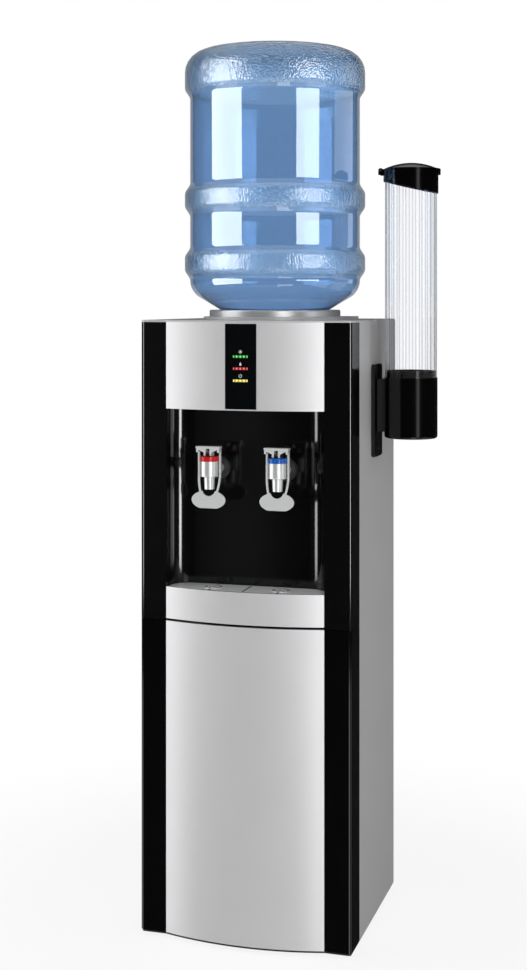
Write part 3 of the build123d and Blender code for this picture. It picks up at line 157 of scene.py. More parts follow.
# the darkest colour here is painted shade, put in hollows that lie in shade
wearAndShade = {
    "patchDetail": 3.0, "grainDetail": 4.0, "patchShare": 0.6, "grainShare": 0.4,
    "hollow": (0.01, 0.01, 0.011), "coatRough": 0.05,
}


def wearFinish(name, look):
    # moulded, painted or bare surface: patchy tone, fine grain and uneven gloss, and on some pieces painted
    # shade above or below a height
    material, shade = newFinish(name)
    place = objectPlace(shade)
    patch = noise(shade, place, look["patch"], wearAndShade["patchDetail"])
    grain = noise(shade, place, look["grain"], wearAndShade["grainDetail"])
    tone = look["tone"]
    dark = [max(0.0, part * (1 - tone)) for part in look["colour"]]
    light = [min(1.0, part * (1 + tone)) for part in look["colour"]]
    colour = mixColour(shade, patch * wearAndShade["patchShare"] + grain * wearAndShade["grainShare"], dark, light)
    # painted shade: some pieces are painted dark above or below a height, where their hollows lie in shade
    if "paintedShadeAbove" in look:
        shaded = axisOf(shade, place, "Z") > look["paintedShadeAbove"]
        colour = mixColour(shade, shaded, colour, wearAndShade["hollow"])
    if "paintedShadeBelow" in look:
        shaded = axisOf(shade, place, "Z") < look["paintedShadeBelow"]
        colour = mixColour(shade, shaded, colour, wearAndShade["hollow"])
    gloss = look["rough"] + look["smudge"] * (patch - 0.5)
    endFinish(
        shade,
        Base_Color=colour,
        Roughness=gloss,
        Metallic=look.get("metal", 0.0),
        Specular=look.get("specular", 0.5),
        Coat_Weight=look.get("coat", 0.0),
        Coat_Roughness=wearAndShade["coatRough"],
        Normal=bump(shade, grain, look["depth"]),
    )
    return material


finishes = {}

silverPanel = {
    "colour": (0.74, 0.74, 0.75), "metal": 0.6, "rough": 0.44, "tone": 0.02, "smudge": 0.03,
    "patch": 0.05, "grain": 0.0007, "depth": 0.000004,
}
finishes["silver_panel"] = wearFinish("silver lacquer", silverPanel)

topSilver = {
    "colour": (0.50, 0.50, 0.505), "metal": 0.2, "rough": 0.38, "tone": 0.03, "smudge": 0.05,
    "patch": 0.04, "grain": 0.0009, "depth": 0.000008,
}
collarSilver = {**topSilver, "colour": (0.60, 0.60, 0.61), "metal": 0.55, "rough": 0.32}
finishes["top_silver"] = wearFinish("grey silver lacquer", topSilver)

sidePaint = {
    "colour": (0.50, 0.50, 0.502), "rough": 0.42, "tone": 0.03, "smudge": 0.06,
    "patch": 0.06, "grain": 0.0011, "depth": 0.00002, "metal": 0.2,
}
finishes["grey_steel"] = wearFinish("grey painted steel", sidePaint)

rearPaint = {
    "colour": (0.30, 0.30, 0.305), "rough": 0.5, "tone": 0.04, "smudge": 0.08,
    "patch": 0.05, "grain": 0.0011, "depth": 0.00002,
}
finishes["rear_steel"] = wearFinish("rear painted steel", rearPaint)

blackGloss = {
    "colour": (0.0022, 0.0022, 0.0023), "rough": 0.12, "tone": 0.2, "smudge": 0.03, "specular": 0.5,
    "patch": 0.05, "grain": 0.002, "depth": 0.000002,
}
finishes["black_gloss"] = wearFinish("gloss black moulding", blackGloss)
finishes["black_cup_parts"] = wearFinish("gloss black dispenser", {**blackGloss, "rough": 0.18, "specular": 0.3})

blackPlastic = {
    "colour": (0.012, 0.012, 0.0125), "rough": 0.42, "tone": 0.15, "smudge": 0.08,
    "patch": 0.03, "grain": 0.0008, "depth": 0.00003,
}
finishes["black_plastic"] = wearFinish("grained black plastic", blackPlastic)

# painted shade: tray pieces are painted dark below a height, in the basin under the grille
trayGrey = {
    "colour": (0.74, 0.75, 0.76), "rough": 0.4, "tone": 0.04, "smudge": 0.08, "metal": 0.1,
    "patch": 0.03, "grain": 0.0009, "depth": 0.00001, "paintedShadeBelow": 0.5002,
}
finishes["tray_grey"] = wearFinish("tray silver grey", trayGrey)

tapSilver = {
    "colour": (0.86, 0.87, 0.87), "rough": 0.26, "tone": 0.02, "smudge": 0.05, "metal": 0.42,
    "patch": 0.012, "grain": 0.0006, "depth": 0.000004, "coat": 0.4,
}
finishes["tap_silver"] = wearFinish("tap silver", tapSilver)
tapBarrel = {**tapSilver, "colour": (0.74, 0.75, 0.75), "metal": 0.62, "rough": 0.32, "coat": 0.0}

hotRed = {
    "colour": (0.52, 0.003, 0.008), "rough": 0.2, "tone": 0.08, "smudge": 0.05, "specular": 0.4,
    "patch": 0.01, "grain": 0.0008, "depth": 0.000004, "coat": 0.2,
}
coldBlue = {**hotRed, "colour": (0.001, 0.10, 0.46)}
finishes["hot_red"] = wearFinish("hot red", hotRed)
finishes["cold_blue"] = wearFinish("cold blue", coldBlue)
finishes["cooling_rocker"] = wearFinish("cooling rocker green", {**hotRed, "colour": (0.02, 0.30, 0.10)})

plainMetal = {
    "colour": (0.62, 0.62, 0.63), "metal": 1.0, "rough": 0.26, "tone": 0.04, "smudge": 0.12,
    "patch": 0.02, "grain": 0.0007, "depth": 0.000006,
}
metals = {
    "drain_metal": ("drain chrome", {"colour": (0.86, 0.86, 0.87), "metal": 0.5, "rough": 0.16}),
    "pin_steel": ("turned steel", {}),
    "tank_steel": ("drawn stainless", {"rough": 0.32}),
    "shelf_steel": ("zinc plated sheet", {"colour": (0.5, 0.51, 0.53), "rough": 0.4}),
    "sink_aluminium": ("extruded aluminium", {"colour": (0.7, 0.7, 0.71), "rough": 0.38}),
    "heater": ("heater mica and steel", {"colour": (0.42, 0.38, 0.32), "rough": 0.45}),
}
for slotName, (name, change) in metals.items():
    finishes[slotName] = wearFinish(name, {**plainMetal, **change})

paleMoulding = {
    "colour": (0.66, 0.66, 0.64), "rough": 0.4, "tone": 0.03, "smudge": 0.08,
    "patch": 0.03, "grain": 0.001, "depth": 0.00002,
}
mouldings = {
    "seat_plastic": ("pale moulding", {}),
    "nut_plastic": ("nut nylon", {"colour": (0.5, 0.5, 0.48)}),
    "stem_silicone": ("silicone", {"colour": (0.55, 0.54, 0.5), "rough": 0.55}),
    "hose": ("silicone hose", {"colour": (0.62, 0.61, 0.56), "rough": 0.35}),
    "foam": ("foam", {"colour": (0.72, 0.70, 0.64), "rough": 0.9, "grain": 0.002, "depth": 0.0006}),
    "module_ceramic": ("ceramic", {"colour": (0.78, 0.77, 0.74)}),
    "board": ("board lacquer", {"colour": (0.02, 0.16, 0.06), "rough": 0.3}),
}
for slotName, (name, change) in mouldings.items():
    finishes[slotName] = wearFinish(name, {**paleMoulding, **change})


def lampFinish(name, look):
    # lens lit by a few chips behind it: bright cores along the bar
    material, shade = newFinish(name)
    place = objectPlace(shade)
    wave = shade.maths("COSINE", axisOf(shade, place, "X") * (math.tau / look["pitch"]))
    core = shade.maths("POWER", wave * 0.5 + 0.5, look["coreSharp"])
    rise = shade.maths("ABSOLUTE", axisOf(shade, place, "Z") - look["level"])
    lit = smoothRamp(shade, rise, look["glowFrom"], look["glowTo"], 1.0, look["rim"])
    colour = mixColour(shade, lit, look["dim"], mixColour(shade, core, look["edge"], look["core"]))
    endFinish(
        shade,
        Base_Color=colour,
        Roughness=look["rough"],
        Emission_Color=colour,
        Emission_Strength=look["strength"],
    )
    return material


lampLevels = {"green": 0.8295, "red": 0.8127, "yellow": 0.7959}
greenLamp = {
    "dim": (0.0, 0.03, 0.004), "edge": (0.004, 0.15, 0.01), "core": (0.25, 0.80, 0.22),
    "level": lampLevels["green"], "pitch": 0.0052, "coreSharp": 2.0, "glowFrom": 0.0008, "glowTo": 0.0021,
    "rim": 0.08, "rough": 0.25, "strength": 0.4,
}
redLamp = {
    **greenLamp, "level": lampLevels["red"],
    "dim": (0.05, 0.0, 0.002), "edge": (0.25, 0.004, 0.012), "core": (0.85, 0.18, 0.18),
}
yellowLamp = {
    **greenLamp, "level": lampLevels["yellow"],
    "dim": (0.09, 0.07, 0.0), "edge": (0.45, 0.40, 0.015), "core": (0.95, 0.92, 0.45),
}
finishes["green_lamp"] = lampFinish("green lamp", greenLamp)
finishes["red_lamp"] = lampFinish("red lamp", redLamp)
finishes["yellow_lamp"] = lampFinish("yellow lamp", yellowLamp)

# the ribs' grey colour is painted shade on the clear ribs
tubePlastic = {
    "colour": (0.975, 0.98, 0.99), "paintedRibShade": (0.74, 0.76, 0.80), "rough": 0.02, "ior": 1.25,
    "axis": (0.2087, 0.0067, 0.0), "ribs": 24, "ribShare": 0.16, "streak": 0.02, "streakRough": 0.03,
}


def tubeFinish(look):
    material, shade = newFinish("clear tube")
    # ribs run up the wall; painted shade: they are painted greyer than the clear wall between
    fromAxis = {0: objectPlace(shade), 1: look["axis"]}
    place = shade.node("ShaderNodeVectorMath", {"operation": "SUBTRACT"}, fromAxis)
    streak = noise(shade, place, look["streak"])
    angle = shade.maths("ARCTAN2", axisOf(shade, place, "Y"), axisOf(shade, place, "X"))
    count = angle * (look["ribs"] / math.tau) + (look["ribs"] + look["ribShare"] / 2)
    paintedRibShade = shade.maths("FRACT", count) < look["ribShare"]
    endFinish(
        shade,
        Base_Color=mixColour(shade, paintedRibShade, look["colour"], look["paintedRibShade"]),
        Roughness=look["rough"] + look["streakRough"] * streak,
        IOR=look["ior"],
        Transmission_Weight=1.0,
    )
    return material


finishes["clear_tube"] = tubeFinish(tubePlastic)

# lighter pebbles on the bands are painted glints, over the bump of the pebbles
bottlePlastic = {
    "colour": (0.36, 0.505, 0.70), "ior": 1.585, "rough": 0.02,
    "paintedGlint": (0.50, 0.64, 0.80), "frostRough": 0.03, "paintedGlintShare": 1.6,
    "pebble": 0.0031, "pebbleDepth": 0.0006, "pebbleSmooth": 0.35, "pebbleSpread": 0.9,
}
bottleForm = {
    "axisY": 0.016, "radius": 0.135, "waist": 0.127, "wall": 0.002,
    "neck": 0.0275, "neckLength": 0.0544, "slope": 0.6, "apex": 0.8451,
    "shoulderWall": 0.0186, "blend": 0.012, "band": 0.022, "shortWaist": 0.049, "longWaist": 0.130,
    "baseBand": 0.025, "baseCorner": 0.032, "dish": 0.005, "dishRadius": 0.070,
    "bandRound": 0.010, "shoulderRound": 0.027, "neckRound": 0.006, "dishRound": 0.014,
    "steps": 144, "roundSteps": 6,
}


def bottleLevels(form):
    # heights that the outline and the pebbled bands share
    shoulder = form["apex"] + form["slope"] * form["waist"]
    low = shoulder + form["shoulderWall"]
    step = 2 * form["blend"] + form["band"]
    high = low + step + form["shortWaist"]
    foot = high + step + form["longWaist"]
    top = foot + form["blend"] + form["baseBand"] + form["baseCorner"]
    return shoulder, low, high, foot, top


def bottleFinish(look, form):
    material, shade = newFinish("blue bottle")
    shoulder, low, high, foot, top = bottleLevels(form)
    place = objectPlace(shade)
    height = axisOf(shade, place, "Z")
    pebble = shade.node(
        "ShaderNodeTexVoronoi",
        {"feature": "SMOOTH_F1"},
        {"Vector": place, "Scale": 1 / look["pebble"],
         "Smoothness": look["pebbleSmooth"], "Randomness": look["pebbleSpread"]},
    )
    # each band runs from the middle of one blend to the middle of the next
    ease = form["blend"] / 2
    bands = [(start + ease, start + form["band"] + 3 * ease) for start in (low, high)]
    bands.append((foot + ease, top + ease))
    mask = 0.0
    for under, over in bands:
        mask = (height > under) * (height < over) + mask
    # painted glints: the pebbles on the bands are painted lighter, on top of their bump
    endFinish(
        shade,
        Base_Color=mixColour(shade, mask * pebble * look["paintedGlintShare"], look["colour"], look["paintedGlint"]),
        Roughness=look["rough"] + look["frostRough"] * mask,
        IOR=look["ior"],
        Transmission_Weight=1.0,
        Normal=bump(shade, pebble * mask, look["pebbleDepth"]),
    )
    return material


finishes["blue_bottle"] = bottleFinish(bottlePlastic, bottleForm)

for nodeName, slotName in nodeSlots.items():
    nodes[nodeName].data.materials.clear()
    nodes[nodeName].data.materials.append(finishes[slotName])
# three nodes look a little different from the rest of their slot
ownFinishes = {
    "tap_flanges": ("tap rosette", {**blackGloss, "colour": (0.022, 0.023, 0.024), "rough": 0.28}),
    "bottle_collar": ("collar silver", collarSilver),
    "display_window": ("smoked window", {**blackGloss, "colour": (0.0042, 0.0058, 0.0068)}),
}
for nodeName, (name, look) in ownFinishes.items():
    nodes[nodeName].data.materials[0] = wearFinish(name, look)
print("finishes made:", len(finishes))

fineGap = 1e-6  # doubles closer than this are merged in small pieces
coarseGap = 1e-5


def deselectAll():
    for thing in bpy.context.view_layer.objects:
        thing.select_set(False)


def outlineObject(name, points):
    # a small plane merged to one vertex, extruded from point to point
    deselectAll()
    bpy.ops.mesh.primitive_plane_add(size=0.002, location=points[0])
    piece = bpy.context.object
    piece.name = name
    bpy.ops.object.transform_apply(location=True, rotation=True, scale=True)
    bpy.ops.object.mode_set(mode="EDIT")
    bpy.ops.mesh.select_all(action="SELECT")
    bpy.ops.mesh.merge(type="CENTER")
    for start, end in zip(points, points[1:]):
        step = Vector(end) - Vector(start)
        bpy.ops.mesh.extrude_vertices_move(TRANSFORM_OT_translate={"value": step})
    bpy.ops.object.mode_set(mode="OBJECT")
    return piece


def roundCorner(piece, corner, radius, before, after, segments):
    first = (Vector(before) - Vector(corner)).normalized()
    second = (Vector(after) - Vector(corner)).normalized()
    reach = radius / math.tan(first.angle(second) / 2)
    for vertex in piece.data.vertices:
        vertex.select = (vertex.co - Vector(corner)).length < coarseGap
    bpy.ops.object.mode_set(mode="EDIT")
    bpy.ops.mesh.bevel(offset=reach, segments=segments, affect="VERTICES")
    bpy.ops.mesh.select_all(action="DESELECT")
    bpy.ops.object.mode_set(mode="OBJECT")


def spinOutline(piece, centre, steps):
    bpy.ops.object.mode_set(mode="EDIT")
    bpy.ops.mesh.select_all(action="SELECT")
    bpy.ops.mesh.spin(steps=steps, angle=math.tau, center=centre, axis=(0, 0, 1))
    bpy.ops.mesh.select_all(action="SELECT")
    bpy.ops.mesh.remove_doubles(threshold=coarseGap)
    bpy.ops.mesh.normals_make_consistent(inside=False)
    bpy.ops.object.mode_set(mode="OBJECT")


nodeBodies = {
    name: body for body, names in frame["record"]["behaviour"]["bodies"].items() for name in names
}
softEdge = {"flatAngle": 1, "sharpAngle": 40, "smoothAngle": 32, "segments": 3}


def softenedCopy(nodeName, edge, clamped):
    # the same piece with its sharp edges broken
    deselectAll()
    piece = bpy.data.objects.new(nodeName + "_soft", nodes[nodeName].data.copy())
    bpy.context.scene.collection.objects.link(piece)
    bpy.context.view_layer.objects.active = piece
    piece.select_set(True)
    bpy.ops.object.mode_set(mode="EDIT")
    bpy.ops.mesh.select_all(action="SELECT")
    bpy.ops.mesh.remove_doubles(threshold=fineGap)
    bpy.ops.mesh.dissolve_limited(angle_limit=math.radians(softEdge["flatAngle"]))
    bpy.ops.object.mode_set(mode="OBJECT")
    broken = piece.modifiers.new("edges", "BEVEL")
    broken.width = edge
    broken.segments = softEdge["segments"]
    broken.limit_method = "ANGLE"
    broken.angle_limit = math.radians(softEdge["sharpAngle"])
    broken.use_clamp_overlap = clamped
    bpy.ops.object.modifier_apply(modifier="edges")
    bpy.ops.object.shade_smooth_by_angle(angle=math.radians(softEdge["smoothAngle"]))
    flats = piece.modifiers.new("flats", "WEIGHTED_NORMAL")
    flats.keep_sharp = True
    bpy.ops.object.modifier_apply(modifier="flats")
    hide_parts(nodeName)
    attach(piece, nodeBodies[nodeName])
    return piece


# clamping would narrow a lever's edges to the short ones round its pin holes
tapEdges = {"tap_lever": (0.00035, False), "tap_body": (0.0007, True), "tap_cap": (0.0004, True)}
capTop = 0.6884  # painted shade: a cap is painted dark above this height, inside its rim
barrelFinish = wearFinish("tap barrel silver", tapBarrel)
capFinishes = {
    "hot": wearFinish("hot tap red", {**hotRed, "paintedShadeAbove": capTop}),
    "cold": wearFinish("cold tap blue", {**coldBlue, "paintedShadeAbove": capTop}),
}
for side in ("hot", "cold"):
    for word, (edge, clamped) in tapEdges.items():
        soft = softenedCopy(side + "_" + word, edge, clamped)
        if word == "tap_body":
            soft.data.materials[0] = barrelFinish
        elif word == "tap_cap":
            soft.data.materials[0] = capFinishes[side]
print("tap edges broken")


def selectWhere(piece, test):
    # picks what lies wholly in a place
    chosen = [test(vertex.co) for vertex in piece.data.vertices]
    for vertex in piece.data.vertices:
        vertex.select = chosen[vertex.index]
    for group in (piece.data.edges, piece.data.polygons):
        for item in group:
            item.select = all(chosen[index] for index in item.vertices)


def crossScrew(name, seat, outward, look):
    # pan head with a cross recess
    outward = Vector(outward)
    turn = Vector((0, 0, 1)).rotation_difference(outward)
    middle = Vector(seat) + outward * look["rise"] / 2
    top = Vector(seat) + outward * look["rise"]
    deselectAll()
    bpy.ops.mesh.primitive_cylinder_add(
        vertices=look["sides"], radius=look["radius"], depth=look["rise"],
        location=middle, rotation=turn.to_euler(),
    )
    head = bpy.context.object
    head.name = name
    bpy.ops.object.transform_apply(location=True, rotation=True, scale=True)
    selectWhere(head, lambda place: (place - middle).dot(outward) > 0)
    bpy.ops.object.mode_set(mode="EDIT")
    bpy.ops.mesh.bevel(offset=look["edge"], segments=look["edgeSteps"], affect="EDGES")
    bpy.ops.object.mode_set(mode="OBJECT")
    for angle in (0, 90):
        spun = turn @ Quaternion((0, 0, 1), math.radians(angle))
        deselectAll()
        bpy.ops.mesh.primitive_cube_add(
            size=1, location=top, rotation=spun.to_euler(),
            scale=(look["cross"], look["slot"], 2 * look["sink"]),
        )
        cutter = bpy.context.object
        bpy.ops.object.transform_apply(location=True, rotation=True, scale=True)
        deselectAll()
        bpy.context.view_layer.objects.active = head
        head.select_set(True)
        recess = head.modifiers.new("recess", "BOOLEAN")
        recess.object = cutter
        bpy.ops.object.modifier_apply(modifier="recess")
        bpy.data.meshes.remove(cutter.data)
    bpy.ops.object.shade_smooth_by_angle(angle=math.radians(look["smoothAngle"]))
    return head


def copyAt(piece, name, shift):
    copied = bpy.data.objects.new(name, piece.data.copy())
    copied.data.transform(Matrix.Translation(shift))
    bpy.context.scene.collection.objects.link(copied)
    return copied


def fitPiece(piece, slot, body):
    piece.data.materials.clear()
    piece.data.materials.append(finishes[slot])
    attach(piece, body)


panelScrew = {
    "radius": 0.0034, "rise": 0.0016, "edge": 0.0008, "cross": 0.0042, "slot": 0.0009, "sink": 0.0009,
    "sides": 28, "edgeSteps": 4, "smoothAngle": 40,
}
rearScrews = {"across": 0.1475, "levels": (0.03, 0.226, 0.422, 0.618, 0.815), "face": 0.140}


def makeRearScrews(look):
    places = [(x, look["face"], z) for x in (-look["across"], look["across"]) for z in look["levels"]]
    first = crossScrew("rear_screw_1", places[0], (0, 1, 0), panelScrew)
    heads = [first]
    for spot, place in enumerate(places[1:], 2):
        shift = Vector(place) - Vector(places[0])
        heads.append(copyAt(first, "rear_screw_" + str(spot), shift))
    for head in heads:
        fitPiece(head, "pin_steel", "cabinet")


bracketScrew = {"place": (0.161, 0.0067, 0.694), "rise": 0.0012}


def makeBracketScrew(look):
    head = crossScrew("bracket_screw", look["place"], (1, 0, 0), {**panelScrew, "rise": look["rise"]})
    fitPiece(head, "black_cup_parts", "cabinet")


makeRearScrews(rearScrews)
makeBracketScrew(bracketScrew)
print("screws set")

lampMarks = {"face": -0.1571, "thick": 0.0003, "above": 0.0067, "half": 0.0028}


def turned(points, angle):
    cosine, sine = math.cos(math.radians(angle)), math.sin(math.radians(angle))
    return [(x * cosine - z * sine, x * sine + z * cosine) for x, z in points]


def arcPoints(radius, start, end, steps):
    return [turned([(radius, 0)], start + (end - start) * step / steps)[0] for step in range(steps + 1)]


# outlines in shares of the mark's half height
flakeArm = [(0.16, -0.09), (0.52, -0.09), (0.66, -0.30), (0.78, -0.22), (0.69, -0.09), (1.0, -0.09)]
flakeArm += [(x, -z) for x, z in reversed(flakeArm)]
snowMark = [[point for arm in range(6) for point in turned(flakeArm, 30 + 60 * arm)]]
flameMark = [[
    (0.05, 1.0), (-0.12, 0.55), (-0.48, 0.1), (-0.6, -0.35), (-0.42, -0.78), (0.0, -0.98), (0.42, -0.8),
    (0.6, -0.36), (0.5, 0.05), (0.34, 0.26), (0.28, 0.02), (0.16, 0.5),
]]
powerMark = [
    arcPoints(0.86, 125, 415, 24) + arcPoints(0.64, 415, 125, 24),
    [(-0.11, 0.2), (0.11, 0.2), (0.11, 1.0), (-0.11, 1.0)],
]


def flatMark(name, outlines, level, look):
    # thin raised plate, one for each closed outline
    plates = []
    half = look["half"]
    for outline in outlines:
        loop = [(x * half, look["face"], level + z * half) for x, z in [*outline, outline[0]]]
        plate = outlineObject(name, loop)
        bpy.ops.object.mode_set(mode="EDIT")
        bpy.ops.mesh.select_all(action="SELECT")
        bpy.ops.mesh.remove_doubles(threshold=fineGap)
        bpy.ops.mesh.edge_face_add()
        bpy.ops.object.mode_set(mode="OBJECT")
        raised = plate.modifiers.new("raised", "SOLIDIFY")
        raised.thickness = look["thick"]
        raised.offset = 0.0
        bpy.ops.object.modifier_apply(modifier="raised")
        plates.append(plate)
    if len(plates) > 1:
        for plate in plates:
            plate.select_set(True)
        bpy.ops.object.join()
    joined = bpy.context.object
    joined.name = name
    fitPiece(joined, "seat_plastic", "cabinet")


marks = {"cooling_mark": snowMark, "heating_mark": flameMark, "power_mark": powerMark}
for (name, outlines), level in zip(marks.items(), lampLevels.values()):
    flatMark(name, outlines, level + lampMarks["above"], lampMarks)
print("lamp marks raised")


def makeBottle(form):
    shoulder, low, high, foot, top = bottleLevels(form)
    wide, waist, blend = form["radius"], form["waist"], form["blend"]
    mouth = form["apex"] + form["slope"] * form["neck"]
    flat = [(0, top - form["dish"], 0), (form["dishRadius"], top, form["dishRound"])]
    flat += [(wide, top, form["baseCorner"]), (wide, foot + blend, form["bandRound"])]
    flat += [(waist, foot, form["bandRound"])]
    for start in (high, low):
        flat += [(waist, start + 2 * blend + form["band"], form["bandRound"])]
        flat += [(wide, start + blend + form["band"], form["bandRound"])]
        flat += [(wide, start + blend, form["bandRound"]), (waist, start, form["bandRound"])]
    flat += [(waist, shoulder, form["shoulderRound"]), (form["neck"], mouth, form["neckRound"])]
    flat += [(form["neck"], mouth - form["neckLength"], 0)]
    points = [(across, form["axisY"], height) for across, height, radius in flat]
    piece = outlineObject("bottle_shell", points)
    for spot in range(1, len(points) - 1):
        corner = points[spot]
        roundCorner(piece, corner, flat[spot][2], points[spot - 1], points[spot + 1], form["roundSteps"])
    spinOutline(piece, (0, form["axisY"], 0), form["steps"])
    wall = piece.modifiers.new("wall", "SOLIDIFY")
    wall.thickness = form["wall"]
    wall.offset = -1.0
    bpy.ops.object.modifier_apply(modifier="wall")
    bpy.ops.object.shade_smooth()
    piece.data.materials.append(finishes["blue_bottle"])
    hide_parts("bottle")
    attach(piece, "bottle")


makeBottle(bottleForm)
print("bottle turned")

studio = {
    "floorSize": 12.0, "floorTone": 0.86, "sweepFrom": 0.3, "sweepTo": 0.9, "sweepShare": 0.86,
    "polish": 0.85, "polishRough": 0.05, "ambient": 0.35,
    "frontGloss": 0.012, "backGloss": 0.015, "glossBlend": 0.3,
    "skyGloss": 1.0, "skyFrom": 0.45, "skyTo": 0.7, "mirrorShade": 0.6,
}


def makeFloor(look):
    # white sweep: shadows stay near the object, plain white further out
    deselectAll()
    bpy.ops.mesh.primitive_plane_add(size=look["floorSize"])
    floor = bpy.context.object
    floor.name = "floor"
    material, shade = newFinish("white sweep")
    reach = shade.node("ShaderNodeVectorMath", {"operation": "LENGTH"}, {0: objectPlace(shade)}, "Value")
    far = smoothRamp(shade, reach, look["sweepFrom"], look["sweepTo"], look["sweepShare"], 1.0)
    through = rayKind(shade, "Is Transmission Ray")
    seen = shade.maths("MAXIMUM", rayKind(shade, "Is Camera Ray"), through)
    paper = shade.node("ShaderNodeBsdfDiffuse", sockets={"Color": rgba([look["floorTone"]] * 3)})
    glow = shade.node("ShaderNodeEmission", sockets={"Color": rgba([1.0] * 3), "Strength": 1.0})
    both = shade.node("ShaderNodeMixShader", sockets={0: far * seen, 1: paper, 2: glow})
    # in gloss the sweep is a polished sheet, so the lamps carry on below it
    gloss = rayKind(shade, "Is Glossy Ray") * (1 - through)
    sheen = {"Color": rgba([look["polish"]] * 3), "Roughness": look["polishRough"]}
    polish = shade.node("ShaderNodeBsdfGlossy", sockets=sheen)
    both = shade.node("ShaderNodeMixShader", sockets={0: gloss, 1: both, 2: polish})
    shade.node("ShaderNodeOutputMaterial", sockets={"Surface": both})
    floor.data.materials.append(material)


def makeWorld(look):
    # white to the eye and through clear pieces, dark in gloss but for the sky
    world = bpy.data.worlds.new("studio")
    bpy.context.scene.world = world
    world.use_nodes = True
    world.node_tree.nodes.clear()
    shade = Shade(world.node_tree)
    gloss = rayKind(shade, "Is Glossy Ray")
    way = shade.node("ShaderNodeTexCoord", out="Generated")
    blend = look["glossBlend"]
    behind = smoothRamp(shade, axisOf(shade, way, "Y"), -blend, blend, look["frontGloss"], look["backGloss"])
    sky = smoothRamp(shade, axisOf(shade, way, "Z"), look["skyFrom"], look["skyTo"], 0.0, look["skyGloss"])
    around = shade.maths("MAXIMUM", behind, sky)
    mirrored = rayKind(shade, "Glossy Depth") > 0.5
    through = rayKind(shade, "Is Transmission Ray") * (1 - look["mirrorShade"] * mirrored)
    plain = shade.maths("MAXIMUM", rayKind(shade, "Is Camera Ray"), through)
    other = (1 - plain) * (gloss * around + (1 - gloss) * look["ambient"])
    light = shade.node("ShaderNodeBackground", sockets={"Color": rgba([1.0] * 3), "Strength": plain + other})
    shade.node("ShaderNodeOutputWorld", sockets={"Surface": light})


def softbox(name, look):
    # a flat lamp that stands at an angle round the object and faces its axis
    data = bpy.data.lights.new(name, "AREA")
    data.shape = "RECTANGLE"
    data.size = look["width"]
    data.size_y = look["height"]
    data.energy = look["level"] * math.pi * look["width"] * look["height"]
    lamp = bpy.data.objects.new(name, data)
    bpy.context.scene.collection.objects.link(lamp)
    turn = math.radians(look["turn"])
    lamp.location = (look["away"] * math.sin(turn), -look["away"] * math.cos(turn), look["middle"])
    aim = Vector((0, 0, look["middle"])) - lamp.location
    lamp.rotation_euler = aim.to_track_quat("-Z", "Y").to_euler()
    lamp.visible_transmission = not look.get("glossOnly", False)
    # flags round the lamp: it reaches only some pieces, or spares some
    for word, state in (("only", "INCLUDE"), ("spares", "EXCLUDE")):
        if word in look:
            group = bpy.data.collections.new(name + " " + word)
            for piece in look[word]:
                group.objects.link(bpy.data.objects[piece])
            for entry in group.collection_objects:
                entry.light_linking.link_state = state
            lamp.light_linking.receiver_collection = group


blackFronts = ["upper_front_frame", "lower_front_frame", "display_window"]
cupParts = ["cup_bracket", "cup_holder", "cup_lid", "cup_tube", "cup_tube_cap"]
litApart = ["bottle_shell", *blackFronts, *cupParts]  # these have lamps of their own
# a lamp's turn is in degrees from the front, minus to the left, and away is its distance from the axis
leftBox = {
    "turn": -66, "away": 1.7, "width": 1.25, "height": 2.0, "middle": 1.0, "level": 2.25,
    "spares": litApart,
}
rightFill = {
    "turn": 31, "away": 1.8, "width": 0.7, "height": 2.0, "middle": 1.0, "level": 3.6,
    "spares": litApart,
}
nicheLeft = {
    "turn": 61, "away": 1.7, "width": 0.38, "height": 0.8, "middle": 0.62, "level": 18.0,
    "only": ["upper_front_frame"],
}
nicheRight = {
    "turn": -39, "away": 1.67, "width": 0.4, "height": 0.8, "middle": 0.62, "level": 9.0,
    "only": ["upper_front_frame"],
}
nicheGlow = {
    "turn": -17.0, "away": 1.757, "width": 0.15, "height": 0.9, "middle": 0.62, "level": 0.1,
    "only": ["upper_front_frame"],
}
bottleLeft = {
    "turn": -51.5, "away": 1.7, "width": 1.5, "height": 1.7, "middle": 1.1, "level": 9.0,
    "only": ["bottle_shell"],
}
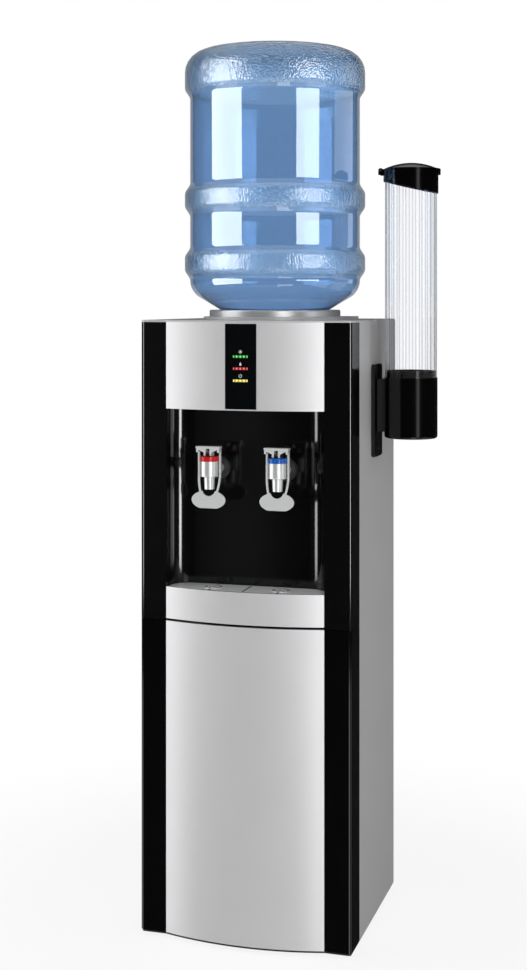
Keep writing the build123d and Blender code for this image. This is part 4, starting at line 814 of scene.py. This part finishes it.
bottleRight = {
    "turn": 60, "away": 1.7, "width": 0.97, "height": 0.9, "middle": 1.15, "level": 8.0,
    "only": ["bottle_shell"],
}
bottleBack = {
    "turn": -164, "away": 1.7, "width": 2.4, "height": 1.7, "middle": 1.15, "level": 0.4,
    "only": ["bottle_shell", "cup_tube"], "glossOnly": True,
}
bottleRim = {
    "turn": 122, "away": 1.7, "width": 1.3, "height": 1.1, "middle": 1.2, "level": 1.1,
    "only": ["bottle_shell"],
}
cupStrip = {
    "turn": 46.2, "away": 1.86, "width": 0.33, "height": 1.5, "middle": 0.8, "level": 2.4,
    "only": cupParts,
}
cupEdge = {
    "turn": -67.8, "away": 1.67, "width": 0.2, "height": 1.5, "middle": 0.8, "level": 1.8,
    "only": cupParts,
}
sideFill = {
    "turn": 84, "away": 1.8, "width": 0.9, "height": 1.8, "middle": 0.8, "level": 1.3,
    "spares": litApart,
}
lamps = {
    "left softbox": leftBox, "right fill": rightFill,
    "niche left strip": nicheLeft, "niche right strip": nicheRight, "niche glow": nicheGlow,
    "bottle left softbox": bottleLeft, "bottle right softbox": bottleRight,
    "bottle backdrop": bottleBack, "bottle rim lamp": bottleRim,
    "side fill": sideFill, "cup strip": cupStrip, "cup edge strip": cupEdge,
}
makeFloor(studio)
makeWorld(studio)
for name, look in lamps.items():
    softbox(name, look)
print("studio lit:", len(lamps), "lamps")

view = {
    "place": (0.652, -2.2262, 0.9058), "turn": 16.637,
    "lens": 57.79, "frameHeight": 36.0, "shift": -0.1888,
}


def makeCamera(look):
    data = bpy.data.cameras.new("photo camera")
    data.lens = look["lens"]
    data.sensor_fit = "VERTICAL"
    data.sensor_height = look["frameHeight"]
    data.shift_y = look["shift"]
    camera = bpy.data.objects.new("photo camera", data)
    camera.location = look["place"]
    camera.rotation_euler = (math.radians(90), 0, math.radians(look["turn"]))
    bpy.context.scene.collection.objects.link(camera)
    bpy.context.scene.camera = camera


makeCamera(view)
bpy.context.scene.view_settings.view_transform = "Standard"
print("camera set")
